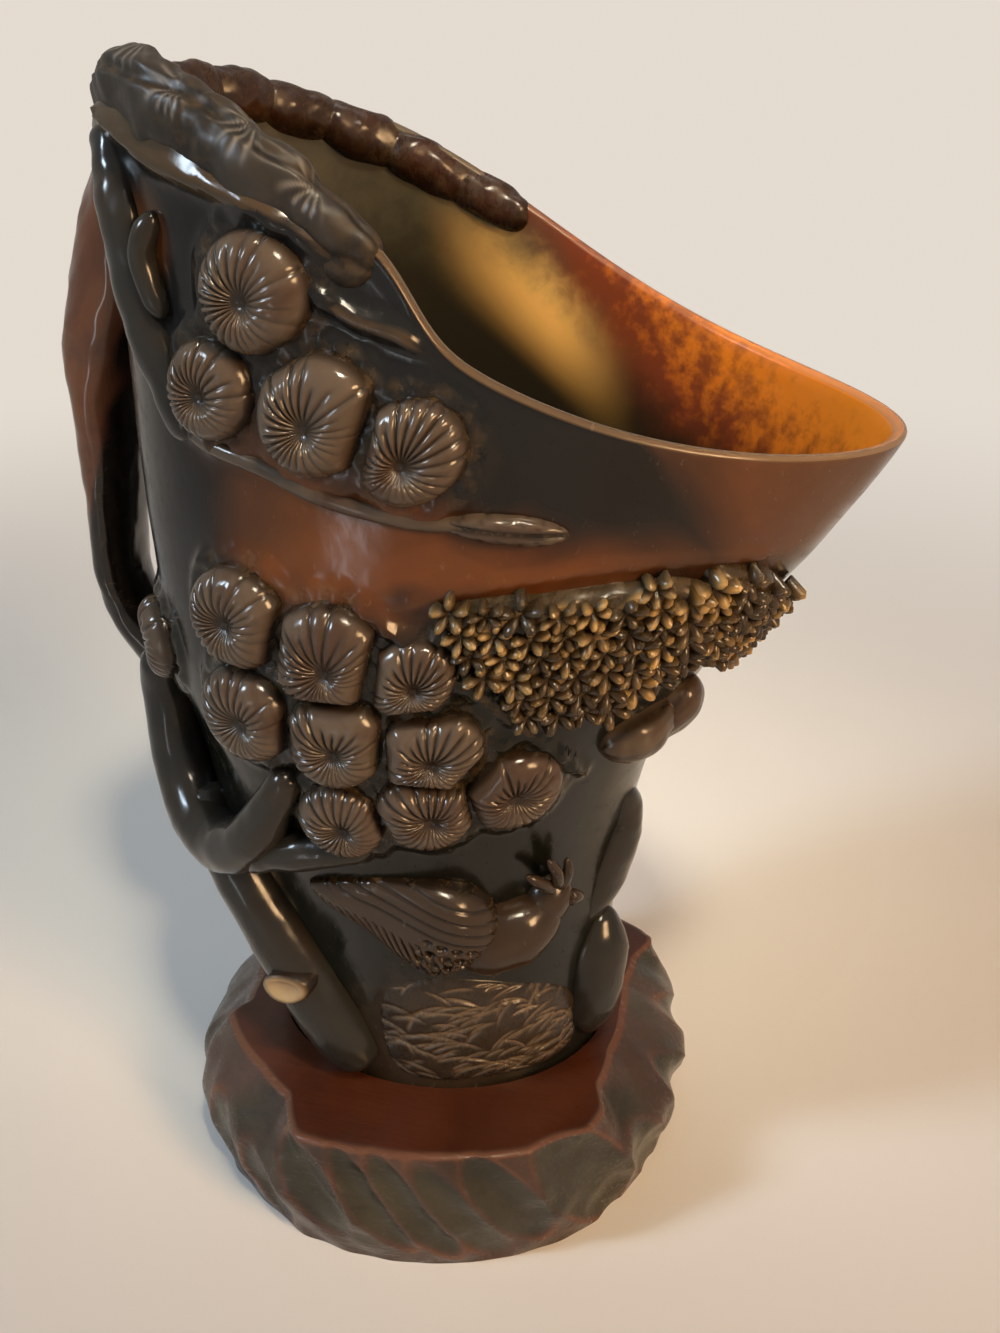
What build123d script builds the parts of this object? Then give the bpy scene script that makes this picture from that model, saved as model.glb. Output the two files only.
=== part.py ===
from build123d import *
import os
from math import cos, exp, pi, radians, sin, sqrt

# A drinking cup carved from one horn, standing in a shallow recess of a carved hardwood stand.
# Lengths are millimetres, angles are degrees. The origin is the middle of the stand's flat underside, +Z is up,
# +X points to the pouring lip, and the carved front faces -Y.
# Places on the cup are given as an angle round its axis (0 at the pouring lip, 180 at the handle, negative on the
# front) and a height above the stand's flat top.

# Stand: reach of its base, its belly and its flat top where nothing is scooped away
STAND_HEIGHT = 24.0
STAND_BASE_REACH = 45.5
STAND_BELLY_REACH = 48.6
STAND_BELLY_HEIGHT = 12.0
STAND_TOP_REACH = 46.0
BASE_ROUNDING = 2.0
SHOULDER_POWER = 1.15
SCOOP_SHARE_AT_BELLY = 0.14
STAND_POINTS = 120
STAND_SECTIONS = 7
# Corners of the flat top, as scoops leave it: direction and reach
STAND_TOP = [
    (-167, 36.2),
    (-155, 37.5),
    (-151, 41.3),
    (-126, 39.5),
    (-113, 40.3),
    (-107, 44.4),
    (-103, 46.8),
    (-86, 45.2),
    (-69, 45.0),
    (-50, 46.5),
    (-39, 47.0),
    (-32, 44.7),
    (-27, 39.8),
    (-13, 36.0),
    (5, 34.7),
    (20, 35.0),
    (32, 39.0),
    (38, 45.0),
    (50, 42.0),
    (66, 40.0),
    (84, 45.5),
    (98, 40.0),
    (112, 38.0),
    (128, 40.0),
    (138, 46.0),
    (160, 41.0),
]
# Gouges cut across the side: direction, height, half length, half width, depth
STAND_GOUGES = [
    (-169, 9, 11, 5.0, 1.8),
    (-150, 11, 11, 5.5, 1.8),
    (-128, 9, 10, 5.0, 1.6),
    (-113, 8, 9, 4.5, 1.5),
    (-99, 14, 11, 5.6, 2.2),
    (-86, 14, 13, 3.6, 2.1),
    (-77, 13, 14, 4.0, 2.3),
    (-67, 12, 15, 4.4, 1.6),
    (-57, 14, 13, 5.0, 2.4),
    (-38, 13, 17, 7.6, 3.0),
    (-17, 8, 11, 5.0, 1.8),
    (4, 9, 12, 5.6, 2.2),
    (26, 9, 12, 5.6, 2.0),
    (47, 13, 14, 6.0, 2.6),
    (66, 12, 14, 5.6, 2.2),
    (86, 13, 15, 6.6, 2.8),
    (108, 10, 13, 5.8, 2.2),
    (130, 13, 15, 6.6, 2.6),
    (151, 11, 13, 5.6, 2.2),
    (172, 12, 13, 6.0, 2.2),
]
GOUGE_SLANT = 52.0
RECESS_DEPTH = 3.0
FOOT_CLEARANCE = 0.3

# Horn wall: reach at the foot, added flare, and the height and softness of each flare
FOOT_SPOUT = 31.0
FOOT_HANDLE = 30.0
FOOT_SIDE = 27.5
SPOUT_FLARE = 53.5
SPOUT_FLARE_HEIGHT = 93.0
SPOUT_FLARE_EASE = 18.0
HANDLE_FLARE = 16.0
HANDLE_FLARE_HEIGHT = 38.0
HANDLE_FLARE_EASE = 15.0
SIDE_FLARE = 14.5
SIDE_FLARE_HEIGHT = 50.0
SIDE_FLARE_EASE = 14.0
MOUTH_EGG = 7.0
MOUTH_EGG_HEIGHT = 90.0
MOUTH_EGG_EASE = 14.0
SECTION_POINTS = 16
SECTION_SPACING = 18.0

# Rim: low at the pouring lip, high at the handle, with a raised crest on the front
RIM_LOW = 114.5
RIM_RISE = 51.0
RIM_RISE_AT = 3.0
RIM_RISE_EASE = 21.0
CREST_RISE = 9.0
CREST_FROM = -36.0
CREST_FROM_EASE = 3.5
CREST_TO = 13.0
CREST_TO_EASE = 2.0
RIM_POINTS = 34
# The rim is found by stepping towards it this often, each time by this share of what is left
RIM_STEPS = 60
RIM_STEP_SHARE = 0.5
HEADROOM = 4.0

# Hollow inside
LIP_WALL = 2.4
FLOOR_WALL = 9.0
WALL_THINS_AT = 78.0
WALL_THINS_EASE = 9.0
FLOOR_HEIGHT = 42.0
FLOOR_ROUNDING = 26.0
FLOOR_SHARE = 0.35
FLOOR_STATIONS = (0.0, 0.08, 0.3, 0.65)
CAVITY_SECTIONS = 10

# Direction from which every branch ring starts, crossed by no branch
RING_START = (0.3, 0.2, 1.0)

# Carving: every carved form seats on the wall with this gap, and on its neighbours with the same
SEAT_GAP = 0.12
SINK = 7.0
TUFT_RISE = 5.2
TUFT_DIMPLE = 1.3
TUFT_CROWN_SHARE = 0.5
TUFT_EDGE_SHARE = 0.2
TUFT_SHOULDER = (0.86, 0.75)
TAIL_RISE = 4.0
GROUND_RISE = 1.5

# Blossom sprays: a low pad with flowers in staggered rows, each flower a blunt cone
PAD_RISE = 2.2
FLOWER_RISE = 4.4
FLOWER_FOOT = 3.8
FLOWER_TIP = 2.6
FLOWER_STEP = 6.6
FLOWER_ROW_SHARE = 0.86
FLOWER_ROWS = 6
FLOWER_MARGIN = 1.6

# Pine tufts: angle, height, radius
RIM_TUFTS = [(-101, 139.5, 8.0), (-109, 126, 7.0), (-92, 124.5, 8.4), (-80, 120.5, 7.4)]
BELT_TUFTS = [
    (-143, 80, 7.0),
    (-105.5, 93, 8.0),
    (-89, 89.5, 8.4),
    (-106, 77, 8.0),
    (-87, 75.4, 7.8),
    (-75, 87, 6.4),
    (-69.5, 74.5, 7.6),
    (-69.5, 63.5, 7.4),
    (-52.5, 66.5, 7.4),
    (-87.5, 60, 6.8),
]
BACK_TUFTS = [(145, 82, 7.0), (110, 91, 8.2), (91, 90, 8.0), (104, 76, 8.0), (85, 77, 7.6), (122, 79, 7.6)]

# Flat-topped carved panels: corner points as angle and height
FRONT_SPRAY = [(-73, 97), (-56, 101), (-38, 101), (-25, 89), (-40, 80), (-54, 79)]
SPOUT_SPRAY = [(-38, 103), (-26, 101), (-12, 95), (2, 90), (8, 84), (-6, 80), (-20, 85), (-32, 92)]
BACK_SPRAY = [(70, 98), (54, 101), (36, 100), (24, 90), (38, 80), (56, 80)]
BIRD_TAIL = [(-103, 43), (-84, 47), (-60, 46), (-52, 36), (-66, 28), (-80, 31), (-92, 37)]
GROUND_PANEL = [(-90, 20), (-70, 25), (-46, 22), (-25, 15), (-24, 3), (-56, 1.5), (-88, 3)]

# Branches: angle, height, stand-off of the centre line from the wall, radius
RIM_TWIG = [(-56, 107, 0.3, 1.6), (-68, 109, 1.2, 2.6), (-84, 112, 1.2, 3.2)]
LOWER_TRUNK = [
    (-103, 2, 0.5, 6.2),
    (-110, 12, 1.2, 6.0),
    (-120, 26, 1.8, 5.8),
    (-131, 40, 2.2, 5.2),
    (-143, 52, 2.0, 4.2),
]
BRANCH_LOOP = [
    (-150, 76, 1.6, 3.8),
    (-153, 66, 3.0, 4.4),
    (-150, 55, 3.8, 5.0),
    (-139, 47.5, 4.0, 5.2),
    (-124, 47, 3.8, 5.0),
    (-111, 53, 3.0, 4.4),
    (-103, 61, 1.6, 3.6),
]
RIM_STEM = [
    (-141, 158, -1.0, 4.0),
    (-134, 149, -0.2, 4.4),
    (-129, 139, 0.2, 4.2),
    (-124, 129, -0.2, 3.8),
    (-116, 117, -1.2, 3.0),
]
HANGING_LEAF = [
    (-10, 53, -1.0, 3.6),
    (-4, 47, -1.0, 5.0),
    (-6, 39, -1.2, 5.6),
    (-13, 31, -1.4, 4.4),
    (-19, 27, -1.5, 3.0),
]
BACK_BOUGH = [
    (154, 62, 2.4, 3.8),
    (140, 53, 3.8, 4.4),
    (120, 50, 3.8, 4.4),
    (100, 54, 3.2, 3.9),
    (84, 62, 2.2, 3.0),
]
BACK_TRUNK = [(100, 2, 0.5, 5.0), (110, 14, 1.5, 4.8), (120, 28, 2.2, 4.4), (128, 40, 2.4, 3.8)]
STUB_PLACE = (-110, 21)
STUB_RADIUS = 3.3
STUB_STAND_OFF = 8.0

# Rounded lumps: angle, height, half length, radius, lean of the long axis from level
LUMP_STATIONS = (-0.97, -0.75, -0.35, 0.0, 0.35, 0.75, 0.97)
BIRD_BODY = (-50, 34, 10.0, 6.4, 28)
BIRD_HEAD = (-38, 39.5, 5.0, 4.2, 60)
CURLED_LEAF = (-19, 72, 9.0, 5.5, 25)
ROCK_CURL = (-13, 16, 13.0, 6.0, 80)
BACK_ROCK = (58, 15, 13.0, 6.5, 70)
BACK_LEAF = (30, 66, 10.0, 5.5, -30)

# Rim boughs: angle along the rim, depth of the centre line below the rim, radius
NEAR_BOUGH = [
    (-166, 0.6, 1.8),
    (-150, 0.6, 2.4),
    (-134, 0.8, 4.0),
    (-118, 1.0, 4.8),
    (-102, 1.2, 4.6),
    (-86, 1.6, 2.8),
]
FAR_BOUGH = [
    (176, 0.8, 3.6),
    (160, 0.8, 4.4),
    (142, 2.0, 4.2),
    (124, 3.4, 4.2),
    (106, 3.4, 4.0),
    (90, 2.4, 3.2),
]

# Handle: height, distance of its middle from the wall, half thickness, half width
HANDLE = [
    (157, -4.0, 4.6, 7.0),
    (148, 3.0, 6.6, 9.0),
    (134, 8.0, 7.4, 9.6),
    (119, 12.6, 6.4, 9.2),
    (104, 13.6, 4.9, 8.4),
    (90, 15.0, 4.1, 7.6),
    (78, 15.6, 3.9, 7.0),
    (68, 12.0, 4.6, 6.6),
    (60, 4.0, 5.0, 6.6),
    (56, -4.0, 4.6, 6.4),
]


def soft_step(value, middle, ease):
    """A step from 0 to 1 about middle, as an S-shaped curve."""
    return 1.0 / (1.0 + exp(-(value - middle) / ease))


def spout_reach(height):
    return FOOT_SPOUT + SPOUT_FLARE * soft_step(height, SPOUT_FLARE_HEIGHT, SPOUT_FLARE_EASE)


def handle_reach(height):
    return FOOT_HANDLE + HANDLE_FLARE * soft_step(height, HANDLE_FLARE_HEIGHT, HANDLE_FLARE_EASE)


def side_reach(height):
    return FOOT_SIDE + SIDE_FLARE * soft_step(height, SIDE_FLARE_HEIGHT, SIDE_FLARE_EASE)


def wall_point(angle, height, proud=0.0):
    """A point of the horn's outside: an ellipse at each height, drawn out to a point at the pouring lip."""
    front = spout_reach(height) + proud
    back = handle_reach(height) + proud
    side = side_reach(height) + proud
    egg = MOUTH_EGG * soft_step(height, MOUTH_EGG_HEIGHT, MOUTH_EGG_EASE)
    turn = radians(angle)
    x = (front - back) / 2 + (front + back) / 2 * cos(turn) + egg * (cos(2 * turn) - 1)
    return Vector(x, side * sin(turn), STAND_HEIGHT + height)


def wall_plane(angle, height, proud=0.0):
    """A plane on the wall: local X runs round the cup, local Y up the wall, local Z straight out."""
    step = 0.5
    along = wall_point(angle + step, height) - wall_point(angle - step, height)
    up = wall_point(angle, height + step) - wall_point(angle, height - step)
    out = along.cross(up).normalized()
    return Plane(wall_point(angle, height) + out * proud, x_dir=along, z_dir=out)


def evenly(first, last, count):
    return [first + (last - first) * i / (count - 1) for i in range(count)]


def closed_face(points):
    return make_face(Spline(*points, periodic=True))


def wall_face(height, proud=0.0):
    return closed_face([wall_point(360 * i / SECTION_POINTS, height, proud) for i in range(SECTION_POINTS)])


def wall_body(proud, lowest, highest):
    count = max(4, 1 + round((highest - lowest) / SECTION_SPACING))
    return loft([wall_face(h, proud) for h in evenly(lowest, highest, count)])


def rim_height(x, front):
    """Height of the rim at x, with the crest on the front side only."""
    height = RIM_LOW + RIM_RISE * (1 - soft_step(x, RIM_RISE_AT, RIM_RISE_EASE))
    if front:
        starts = soft_step(x, CREST_FROM, CREST_FROM_EASE)
        ends = 1 - soft_step(x, CREST_TO, CREST_TO_EASE)
        height += CREST_RISE * starts * ends
    return height


def rim_at(angle):
    """Height where the wall meets the rim at this angle, found by stepping towards it."""
    height = RIM_LOW
    for _ in range(RIM_STEPS):
        height += RIM_STEP_SHARE * (rim_height(wall_point(angle, height).X, sin(radians(angle)) < 0) - height)
    return height


TOP_HEIGHT = RIM_LOW + RIM_RISE + CREST_RISE + HEADROOM
FAR_OUT = SPOUT_FLARE + FOOT_SPOUT + STAND_BELLY_REACH


def above_rim(front):
    """All the space over the rim, on the front or on the back half."""
    xs = evenly(-FAR_OUT, FAR_OUT, RIM_POINTS)
    line = Spline(*[(x, rim_height(x, front)) for x in xs])
    roof = Polyline(line @ 1, (FAR_OUT, 2 * TOP_HEIGHT), (-FAR_OUT, 2 * TOP_HEIGHT), line @ 0)
    profile = Plane.XZ * make_face([line, roof])
    block = extrude(profile, amount=FAR_OUT, dir=(0, -1 if front else 1, 0))
    return Pos(0, 0, STAND_HEIGHT) * block


def cavity_face(height):
    """Outline of the hollow: the wall's outline less its thickness, drawn in to a rounded floor."""
    thins = soft_step(height, WALL_THINS_AT, WALL_THINS_EASE)
    wall = FLOOR_WALL + (LIP_WALL - FLOOR_WALL) * thins
    rise = min((height - FLOOR_HEIGHT) / FLOOR_ROUNDING, 1.0)
    share = FLOOR_SHARE + (1 - FLOOR_SHARE) * sqrt(1 - (1 - rise) ** 2)
    outline = []
    for i in range(SECTION_POINTS):
        point = wall_point(360 * i / SECTION_POINTS, height, -wall)
        outline.append((point.X * share, point.Y * share, point.Z))
    return closed_face(outline)


def make_bowl():
    outside = wall_body(0.0, -RECESS_DEPTH, TOP_HEIGHT)
    floor_zone = [FLOOR_HEIGHT + FLOOR_ROUNDING * share for share in FLOOR_STATIONS]
    upper_zone = evenly(FLOOR_HEIGHT + FLOOR_ROUNDING, TOP_HEIGHT + 1.0, CAVITY_SECTIONS - len(floor_zone))
    cavity = loft([cavity_face(h) for h in floor_zone + upper_zone])
    return outside - cavity - above_rim(True) - above_rim(False)


def tube(stations):
    """A round branch: circles of given centre and radius, square to the line through the centres."""
    sections = []
    last = len(stations) - 1
    for i, (centre, radius) in enumerate(stations):
        ahead = stations[min(i + 1, last)][0]
        behind = stations[max(i - 1, 0)][0]
        square = Plane(centre, x_dir=RING_START, z_dir=ahead - behind)
        sections.append(square * Circle(radius))
    return loft(sections)


def branch(route, grow=0.0):
    return tube([(wall_plane(a, h, off).origin, r + grow) for a, h, off, r in route])


def tuft(angle, height, radius, grow=0.0):
    """A round cushion of needles with a dimple in its crown, turned about the wall's outward line."""
    r = radius + grow
    top = TUFT_RISE + grow
    crown = (TUFT_CROWN_SHARE * r, top)
    edge = (r, TUFT_EDGE_SHARE * top)
    shoulder = ThreePointArc(edge, (TUFT_SHOULDER[0] * r, TUFT_SHOULDER[1] * top), crown)
    rest = Polyline(crown, (0, top - TUFT_DIMPLE), (0, -SINK), (r, -SINK), edge)
    profile = Plane.XZ * make_face([shoulder, rest])
    return wall_plane(angle, height) * revolve(profile, Axis.Z)


def lump(place, grow=0.0):
    """A rounded lump lying on the wall: circles along its long axis, as wide as an ellipse is there."""
    angle, height, half_length, radius, lean = place
    lying = wall_plane(angle, height) * Rot(0, 0, lean)
    stations = []
    for share in LUMP_STATIONS:
        centre = lying * Pos(share * (half_length + grow), 0, 0)
        stations.append((centre.position, (radius + grow) * sqrt(1 - share ** 2)))
    return tube(stations)


def middle_of(corners):
    """Mean angle and mean height of a panel's corner points."""
    angles, heights = zip(*corners)
    return sum(angles) / len(angles), sum(heights) / len(heights)


def panel_outline(corners, grow):
    """A panel's rounded outline, laid flat on the plane at its middle."""
    base = wall_plane(*middle_of(corners))
    flat = [base.to_local_coords(wall_point(angle, height)) for angle, height in corners]
    return closed_face([Vector(p.X, p.Y) + grow * Vector(p.X, p.Y).normalized() for p in flat])


def panel(corners, rise, grow=0.0):
    """A panel standing out from the wall by rise, with a rounded outline through its corner points."""
    base = wall_plane(*middle_of(corners))
    prism = base * extrude(panel_outline(corners, grow), amount=2 * SINK, both=True)
    lowest = min(height for _, height in corners) - 2 * SINK
    highest = max(height for _, height in corners) + 2 * SINK
    return prism & wall_body(rise + grow, max(lowest, -RECESS_DEPTH), min(highest, TOP_HEIGHT))


def flowers(corners):
    """Blunt cones in staggered rows, square to the wall, wherever their middle lies inside the outline."""
    angle, height = middle_of(corners)
    per_degree = (wall_point(angle + 0.5, height) - wall_point(angle - 0.5, height)).length
    per_height = (wall_point(angle, height + 0.5) - wall_point(angle, height - 0.5)).length
    room = panel_outline(corners, -FLOWER_MARGIN)
    reach = range(-FLOWER_ROWS, FLOWER_ROWS + 1)
    cones = []
    for row in reach:
        for column in reach:
            u = (column + row % 2 / 2) * FLOWER_STEP
            v = row * FLOWER_ROW_SHARE * FLOWER_STEP
            if room.is_inside(Vector(u, v)):
                cone = Cone(FLOWER_FOOT, FLOWER_TIP, FLOWER_RISE, align=(Align.CENTER, Align.CENTER, Align.MIN))
                cones.append(wall_plane(angle + u / per_degree, height + v / per_height) * cone)
    return cones


def spray(corners, grow=0.0):
    """A blossom spray: a low pad and its flowers. What it keeps clear of others is a plain panel as high as them."""
    if grow:
        return panel(corners, FLOWER_RISE, grow)
    pad = panel(corners, PAD_RISE)
    return pad.fuse(*[cone & panel(corners, 2 * FLOWER_RISE) for cone in flowers(corners)])


def stub(grow=0.0):
    """The cut end of a small branch, pointing out from the trunk."""
    inner = wall_plane(*STUB_PLACE, -SINK).origin
    outer = wall_plane(*STUB_PLACE, STUB_STAND_OFF + grow).origin
    return tube([(inner, STUB_RADIUS + grow), (outer, STUB_RADIUS + grow)])


def rim_bough(route, grow=0.0):
    """A bough lying along the rim, astride the wall."""
    stations = []
    for angle, drop, radius in route:
        middle = wall_plane(angle, rim_at(angle) - drop, -LIP_WALL / 2).origin
        stations.append((middle, radius + grow))
    return tube(stations)


def handle(grow=0.0):
    """The handle: ellipses square to a line that stands away from the wall and leaves a gap for a finger."""
    centres = [wall_point(180, h) - Vector(off, 0, 0) for h, off, _, _ in HANDLE]
    last = len(HANDLE) - 1
    sections = []
    for i, (_, _, half_thick, half_wide) in enumerate(HANDLE):
        run = centres[min(i + 1, last)] - centres[max(i - 1, 0)]
        square = Plane(centres[i], x_dir=(0, 1, 0), z_dir=run)
        sections.append(square * Ellipse(half_wide + grow, half_thick + grow))
    return loft(sections)


def top_reach(turn):
    """Reach of the stand's flat top in one direction, on straight lines between its corners."""
    first, last = STAND_TOP[0], STAND_TOP[-1]
    corners = [(last[0] - 360, last[1])] + STAND_TOP + [(first[0] + 360, first[1])]
    for (start, near_reach), (end, far_reach) in zip(corners, corners[1:]):
        if start <= turn < end:
            return near_reach + (far_reach - near_reach) * (turn - start) / (end - start)


def gouge_depth(turn, height):
    """Depth of the deepest gouge at a place: each is an oval bowl whose long axis slants down the side."""
    slant = radians(GOUGE_SLANT)
    deepest = 0.0
    for middle, middle_height, half_length, half_width, depth in STAND_GOUGES:
        arc = radians((turn - middle + 180) % 360 - 180) * STAND_BELLY_REACH
        up = height - middle_height
        along = arc * cos(slant) - up * sin(slant)
        across = arc * sin(slant) + up * cos(slant)
        deepest = max(deepest, depth * (1 - (along / half_length) ** 2 - (across / half_width) ** 2))
    return deepest


def stand_reach(turn, height):
    """Reach of the stand: its top swells down to a belly and draws in to the base, less the gouges."""
    top = top_reach(turn)
    belly = STAND_BELLY_REACH - SCOOP_SHARE_AT_BELLY * (STAND_TOP_REACH - top)
    fall = min((STAND_HEIGHT - height) / (STAND_HEIGHT - STAND_BELLY_HEIGHT), 1.0)
    swell = (belly - top) * sin(fall ** SHOULDER_POWER * pi / 2)
    rise = min((height + BASE_ROUNDING) / (STAND_BELLY_HEIGHT + BASE_ROUNDING), 1.0)
    drawn_in = (STAND_BELLY_REACH - STAND_BASE_REACH) * (1 - rise * rise * (3 - 2 * rise))
    return top + swell - drawn_in - gouge_depth(turn, height)


def stand_face(height):
    points = []
    for i in range(STAND_POINTS):
        turn = 360 * i / STAND_POINTS - 180
        reach = stand_reach(turn, height)
        points.append((reach * cos(radians(turn)), reach * sin(radians(turn)), height))
    return closed_face(points)


def make_stand():
    block = loft([stand_face(height) for height in evenly(0.0, STAND_HEIGHT, STAND_SECTIONS)])
    return block - wall_body(FOOT_CLEARANCE, -RECESS_DEPTH, TOP_HEIGHT)


def near(a, b):
    """True where two boxes overlap."""
    apart_x = a.min.X > b.max.X or b.min.X > a.max.X
    apart_y = a.min.Y > b.max.Y or b.min.Y > a.max.Y
    apart_z = a.min.Z > b.max.Z or b.min.Z > a.max.Z
    return not (apart_x or apart_y or apart_z)


def boxed(solid):
    return solid, solid.bounding_box()


def clear_of(solid, cutters):
    """The solid less each cutter that it comes near."""
    box = solid.bounding_box()
    for cutter, cutter_box in cutters:
        if near(box, cutter_box):
            solid = solid - cutter
    return solid


def largest(shape):
    return max(shape.solids(), key=lambda solid: solid.volume)


def carved_forms():
    """Every carved form by name, as a function of how much it is grown, from the uppermost to the lowest."""
    forms = {"handle_trunk": handle}
    for group, places in (("rim_tuft", RIM_TUFTS), ("belt_tuft", BELT_TUFTS), ("back_tuft", BACK_TUFTS)):
        for number, place in enumerate(places, 1):
            forms[f"{group}_{number}"] = lambda grow, place=place: tuft(*place, grow)
    forms["bird_head"] = lambda grow: lump(BIRD_HEAD, grow)
    forms["bird_body"] = lambda grow: lump(BIRD_BODY, grow)
    forms["branch_stub"] = stub
    forms["branch_loop"] = lambda grow: branch(BRANCH_LOOP, grow)
    forms["back_bough"] = lambda grow: branch(BACK_BOUGH, grow)
    forms["lower_trunk"] = lambda grow: branch(LOWER_TRUNK, grow)
    forms["back_trunk"] = lambda grow: branch(BACK_TRUNK, grow)
    forms["rim_twig"] = lambda grow: branch(RIM_TWIG, grow)
    forms["rim_stem"] = lambda grow: branch(RIM_STEM, grow)
    forms["curled_leaf"] = lambda grow: lump(CURLED_LEAF, grow)
    forms["back_leaf"] = lambda grow: lump(BACK_LEAF, grow)
    forms["rock_curl"] = lambda grow: lump(ROCK_CURL, grow)
    forms["back_rock"] = lambda grow: lump(BACK_ROCK, grow)
    forms["blossom_spray_front"] = lambda grow: spray(FRONT_SPRAY, grow)
    forms["blossom_spray_spout"] = lambda grow: spray(SPOUT_SPRAY, grow)
    forms["blossom_spray_back"] = lambda grow: spray(BACK_SPRAY, grow)
    forms["hanging_leaf"] = lambda grow: branch(HANGING_LEAF, grow)
    forms["bird_tail"] = lambda grow: panel(BIRD_TAIL, TAIL_RISE, grow)
    forms["ground_panel"] = lambda grow: panel(GROUND_PANEL, GROUND_RISE, grow)
    return forms


def make_carving():
    """The carved forms, each cut to seat on the wall, clear of the stand and of the forms that lie over it."""
    seat = wall_body(SEAT_GAP, -RECESS_DEPTH, TOP_HEIGHT)
    stand_space = Pos(0, 0, STAND_HEIGHT + FOOT_CLEARANCE - FAR_OUT) * Box(2 * FAR_OUT, 2 * FAR_OUT, 2 * FAR_OUT)
    carved = {}
    cutters = []
    for name, make in carved_forms().items():
        solid = make(0.0) - seat
        if solid.bounding_box().min.Z < STAND_HEIGHT + FOOT_CLEARANCE:
            solid = solid - stand_space
        carved[name] = largest(clear_of(solid, cutters))
        cutters.append(boxed(make(SEAT_GAP)))
    return carved, cutters


def main():
    os.makedirs("parts", exist_ok=True)
    bowl = make_bowl()
    parts, cutters = make_carving()
    parts["wood_stand"] = make_stand()
    parts["horn_bowl"] = bowl
    for name, route in (("rim_bough_near", NEAR_BOUGH), ("rim_bough_far", FAR_BOUGH)):
        parts[name] = largest(clear_of(rim_bough(route) - bowl, cutters))
    for name, solid in parts.items():
        solid.label = name
        export_step(solid, f"parts/{name}.step")
        print(f"{name}: {solid.volume:.1f} cubic millimetres")


if __name__ == "__main__":
    main()
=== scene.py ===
# %% [markdown]
# A drinking cup carved from one horn stands in the recess of a dark wooden stand.
# The construction is loaded first as a fixed frame, and every piece below is laid on that frame.
# Shapes are worked out in millimetres with numpy and put into meshes in metres at the very end.

# %% Load the frame
import math

import bpy
import numpy as np
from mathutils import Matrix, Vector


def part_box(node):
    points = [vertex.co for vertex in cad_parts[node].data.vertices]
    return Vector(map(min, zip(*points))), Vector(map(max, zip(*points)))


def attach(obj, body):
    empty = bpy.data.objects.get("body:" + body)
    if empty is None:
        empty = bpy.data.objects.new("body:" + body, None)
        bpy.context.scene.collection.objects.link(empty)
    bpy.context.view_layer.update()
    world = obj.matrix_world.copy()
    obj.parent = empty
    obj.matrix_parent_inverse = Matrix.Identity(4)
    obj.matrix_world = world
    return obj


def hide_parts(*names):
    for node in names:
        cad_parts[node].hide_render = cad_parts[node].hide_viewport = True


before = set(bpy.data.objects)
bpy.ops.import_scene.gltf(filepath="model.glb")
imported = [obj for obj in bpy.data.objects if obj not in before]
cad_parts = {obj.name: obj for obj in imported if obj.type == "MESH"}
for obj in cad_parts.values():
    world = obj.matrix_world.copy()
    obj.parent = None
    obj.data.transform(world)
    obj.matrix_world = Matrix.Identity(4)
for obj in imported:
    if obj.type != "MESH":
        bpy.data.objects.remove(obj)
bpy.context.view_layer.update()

MM = 0.001
STAND_HEIGHT = round(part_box("wood_stand")[1][2] / MM, 2)

# %% [markdown]
# Nearly everything on this cup is carved out of one curved wall, so the wall itself is the most useful
# helper. One could model the wall once and snap the carving to it with modifiers. A formula is simpler here:
# it gives the point, the two directions along the wall and the outward direction for whole arrays of places
# at once. A place is an angle round the cup (0 at the pouring lip, 180 at the handle, negative on the front)
# and a height above the stand.

# %% The horn wall as a formula
FOOT_SPOUT, FOOT_HANDLE, FOOT_SIDE = 31.0, 30.0, 27.5
# A flare is how much it adds, the height of its middle, and how gently it comes.
SPOUT_FLARE, HANDLE_FLARE = (53.5, 93, 18), (16.0, 38, 15)
SIDE_FLARE, MOUTH_EGG = (14.5, 50, 14), (7.0, 90, 14)


def soft(value, middle, ease):
    """A step from 0 to 1: one over one plus e to the power of minus (value - middle) / ease."""
    return 1 / (1 + np.exp(-(value - middle) / ease))


def flare(height, size, middle, ease):
    """How far a reach has flared out at a height: its size times a soft step."""
    return size * soft(height, middle, ease)


def wall(angle, height):
    """A point of the wall: an ellipse at each height whose three reaches flare, drawn out at the lip."""
    turn = np.radians(angle)
    front = FOOT_SPOUT + flare(height, *SPOUT_FLARE)
    back = FOOT_HANDLE + flare(height, *HANDLE_FLARE)
    side = FOOT_SIDE + flare(height, *SIDE_FLARE)
    egg = flare(height, *MOUTH_EGG)
    x = (front - back) / 2 + (front + back) / 2 * np.cos(turn) + egg * (np.cos(2 * turn) - 1)
    return np.stack(np.broadcast_arrays(x, side * np.sin(turn), STAND_HEIGHT + height), -1)


def unit(vectors):
    """Vectors divided by their length."""
    return vectors / np.linalg.norm(vectors, axis=-1, keepdims=True)


def wall_axes(angle, height):
    """Directions at a place, by small steps: round the cup per radian, up the wall per mm, and out."""
    around = (wall(angle + 0.25, height) - wall(angle - 0.25, height)) / math.radians(0.5)
    up = wall(angle, height + 0.5) - wall(angle, height - 0.5)
    return around, up, unit(np.cross(around, up))


def drape(angle, height, u, v, w):
    """Lays a flat drawing on the wall: u runs round the cup, v up the wall, and w stands straight out."""
    around, up, _ = wall_axes(angle, height)
    angles = angle + np.degrees(u / np.linalg.norm(around))
    heights = height + v / np.linalg.norm(up)
    return wall(angles, heights) + wall_axes(angles, heights)[2] * np.asarray(w)[..., None]


print("foot at lip side", wall(0, 0).round(1), "at handle side", wall(180, 0).round(1))

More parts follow.
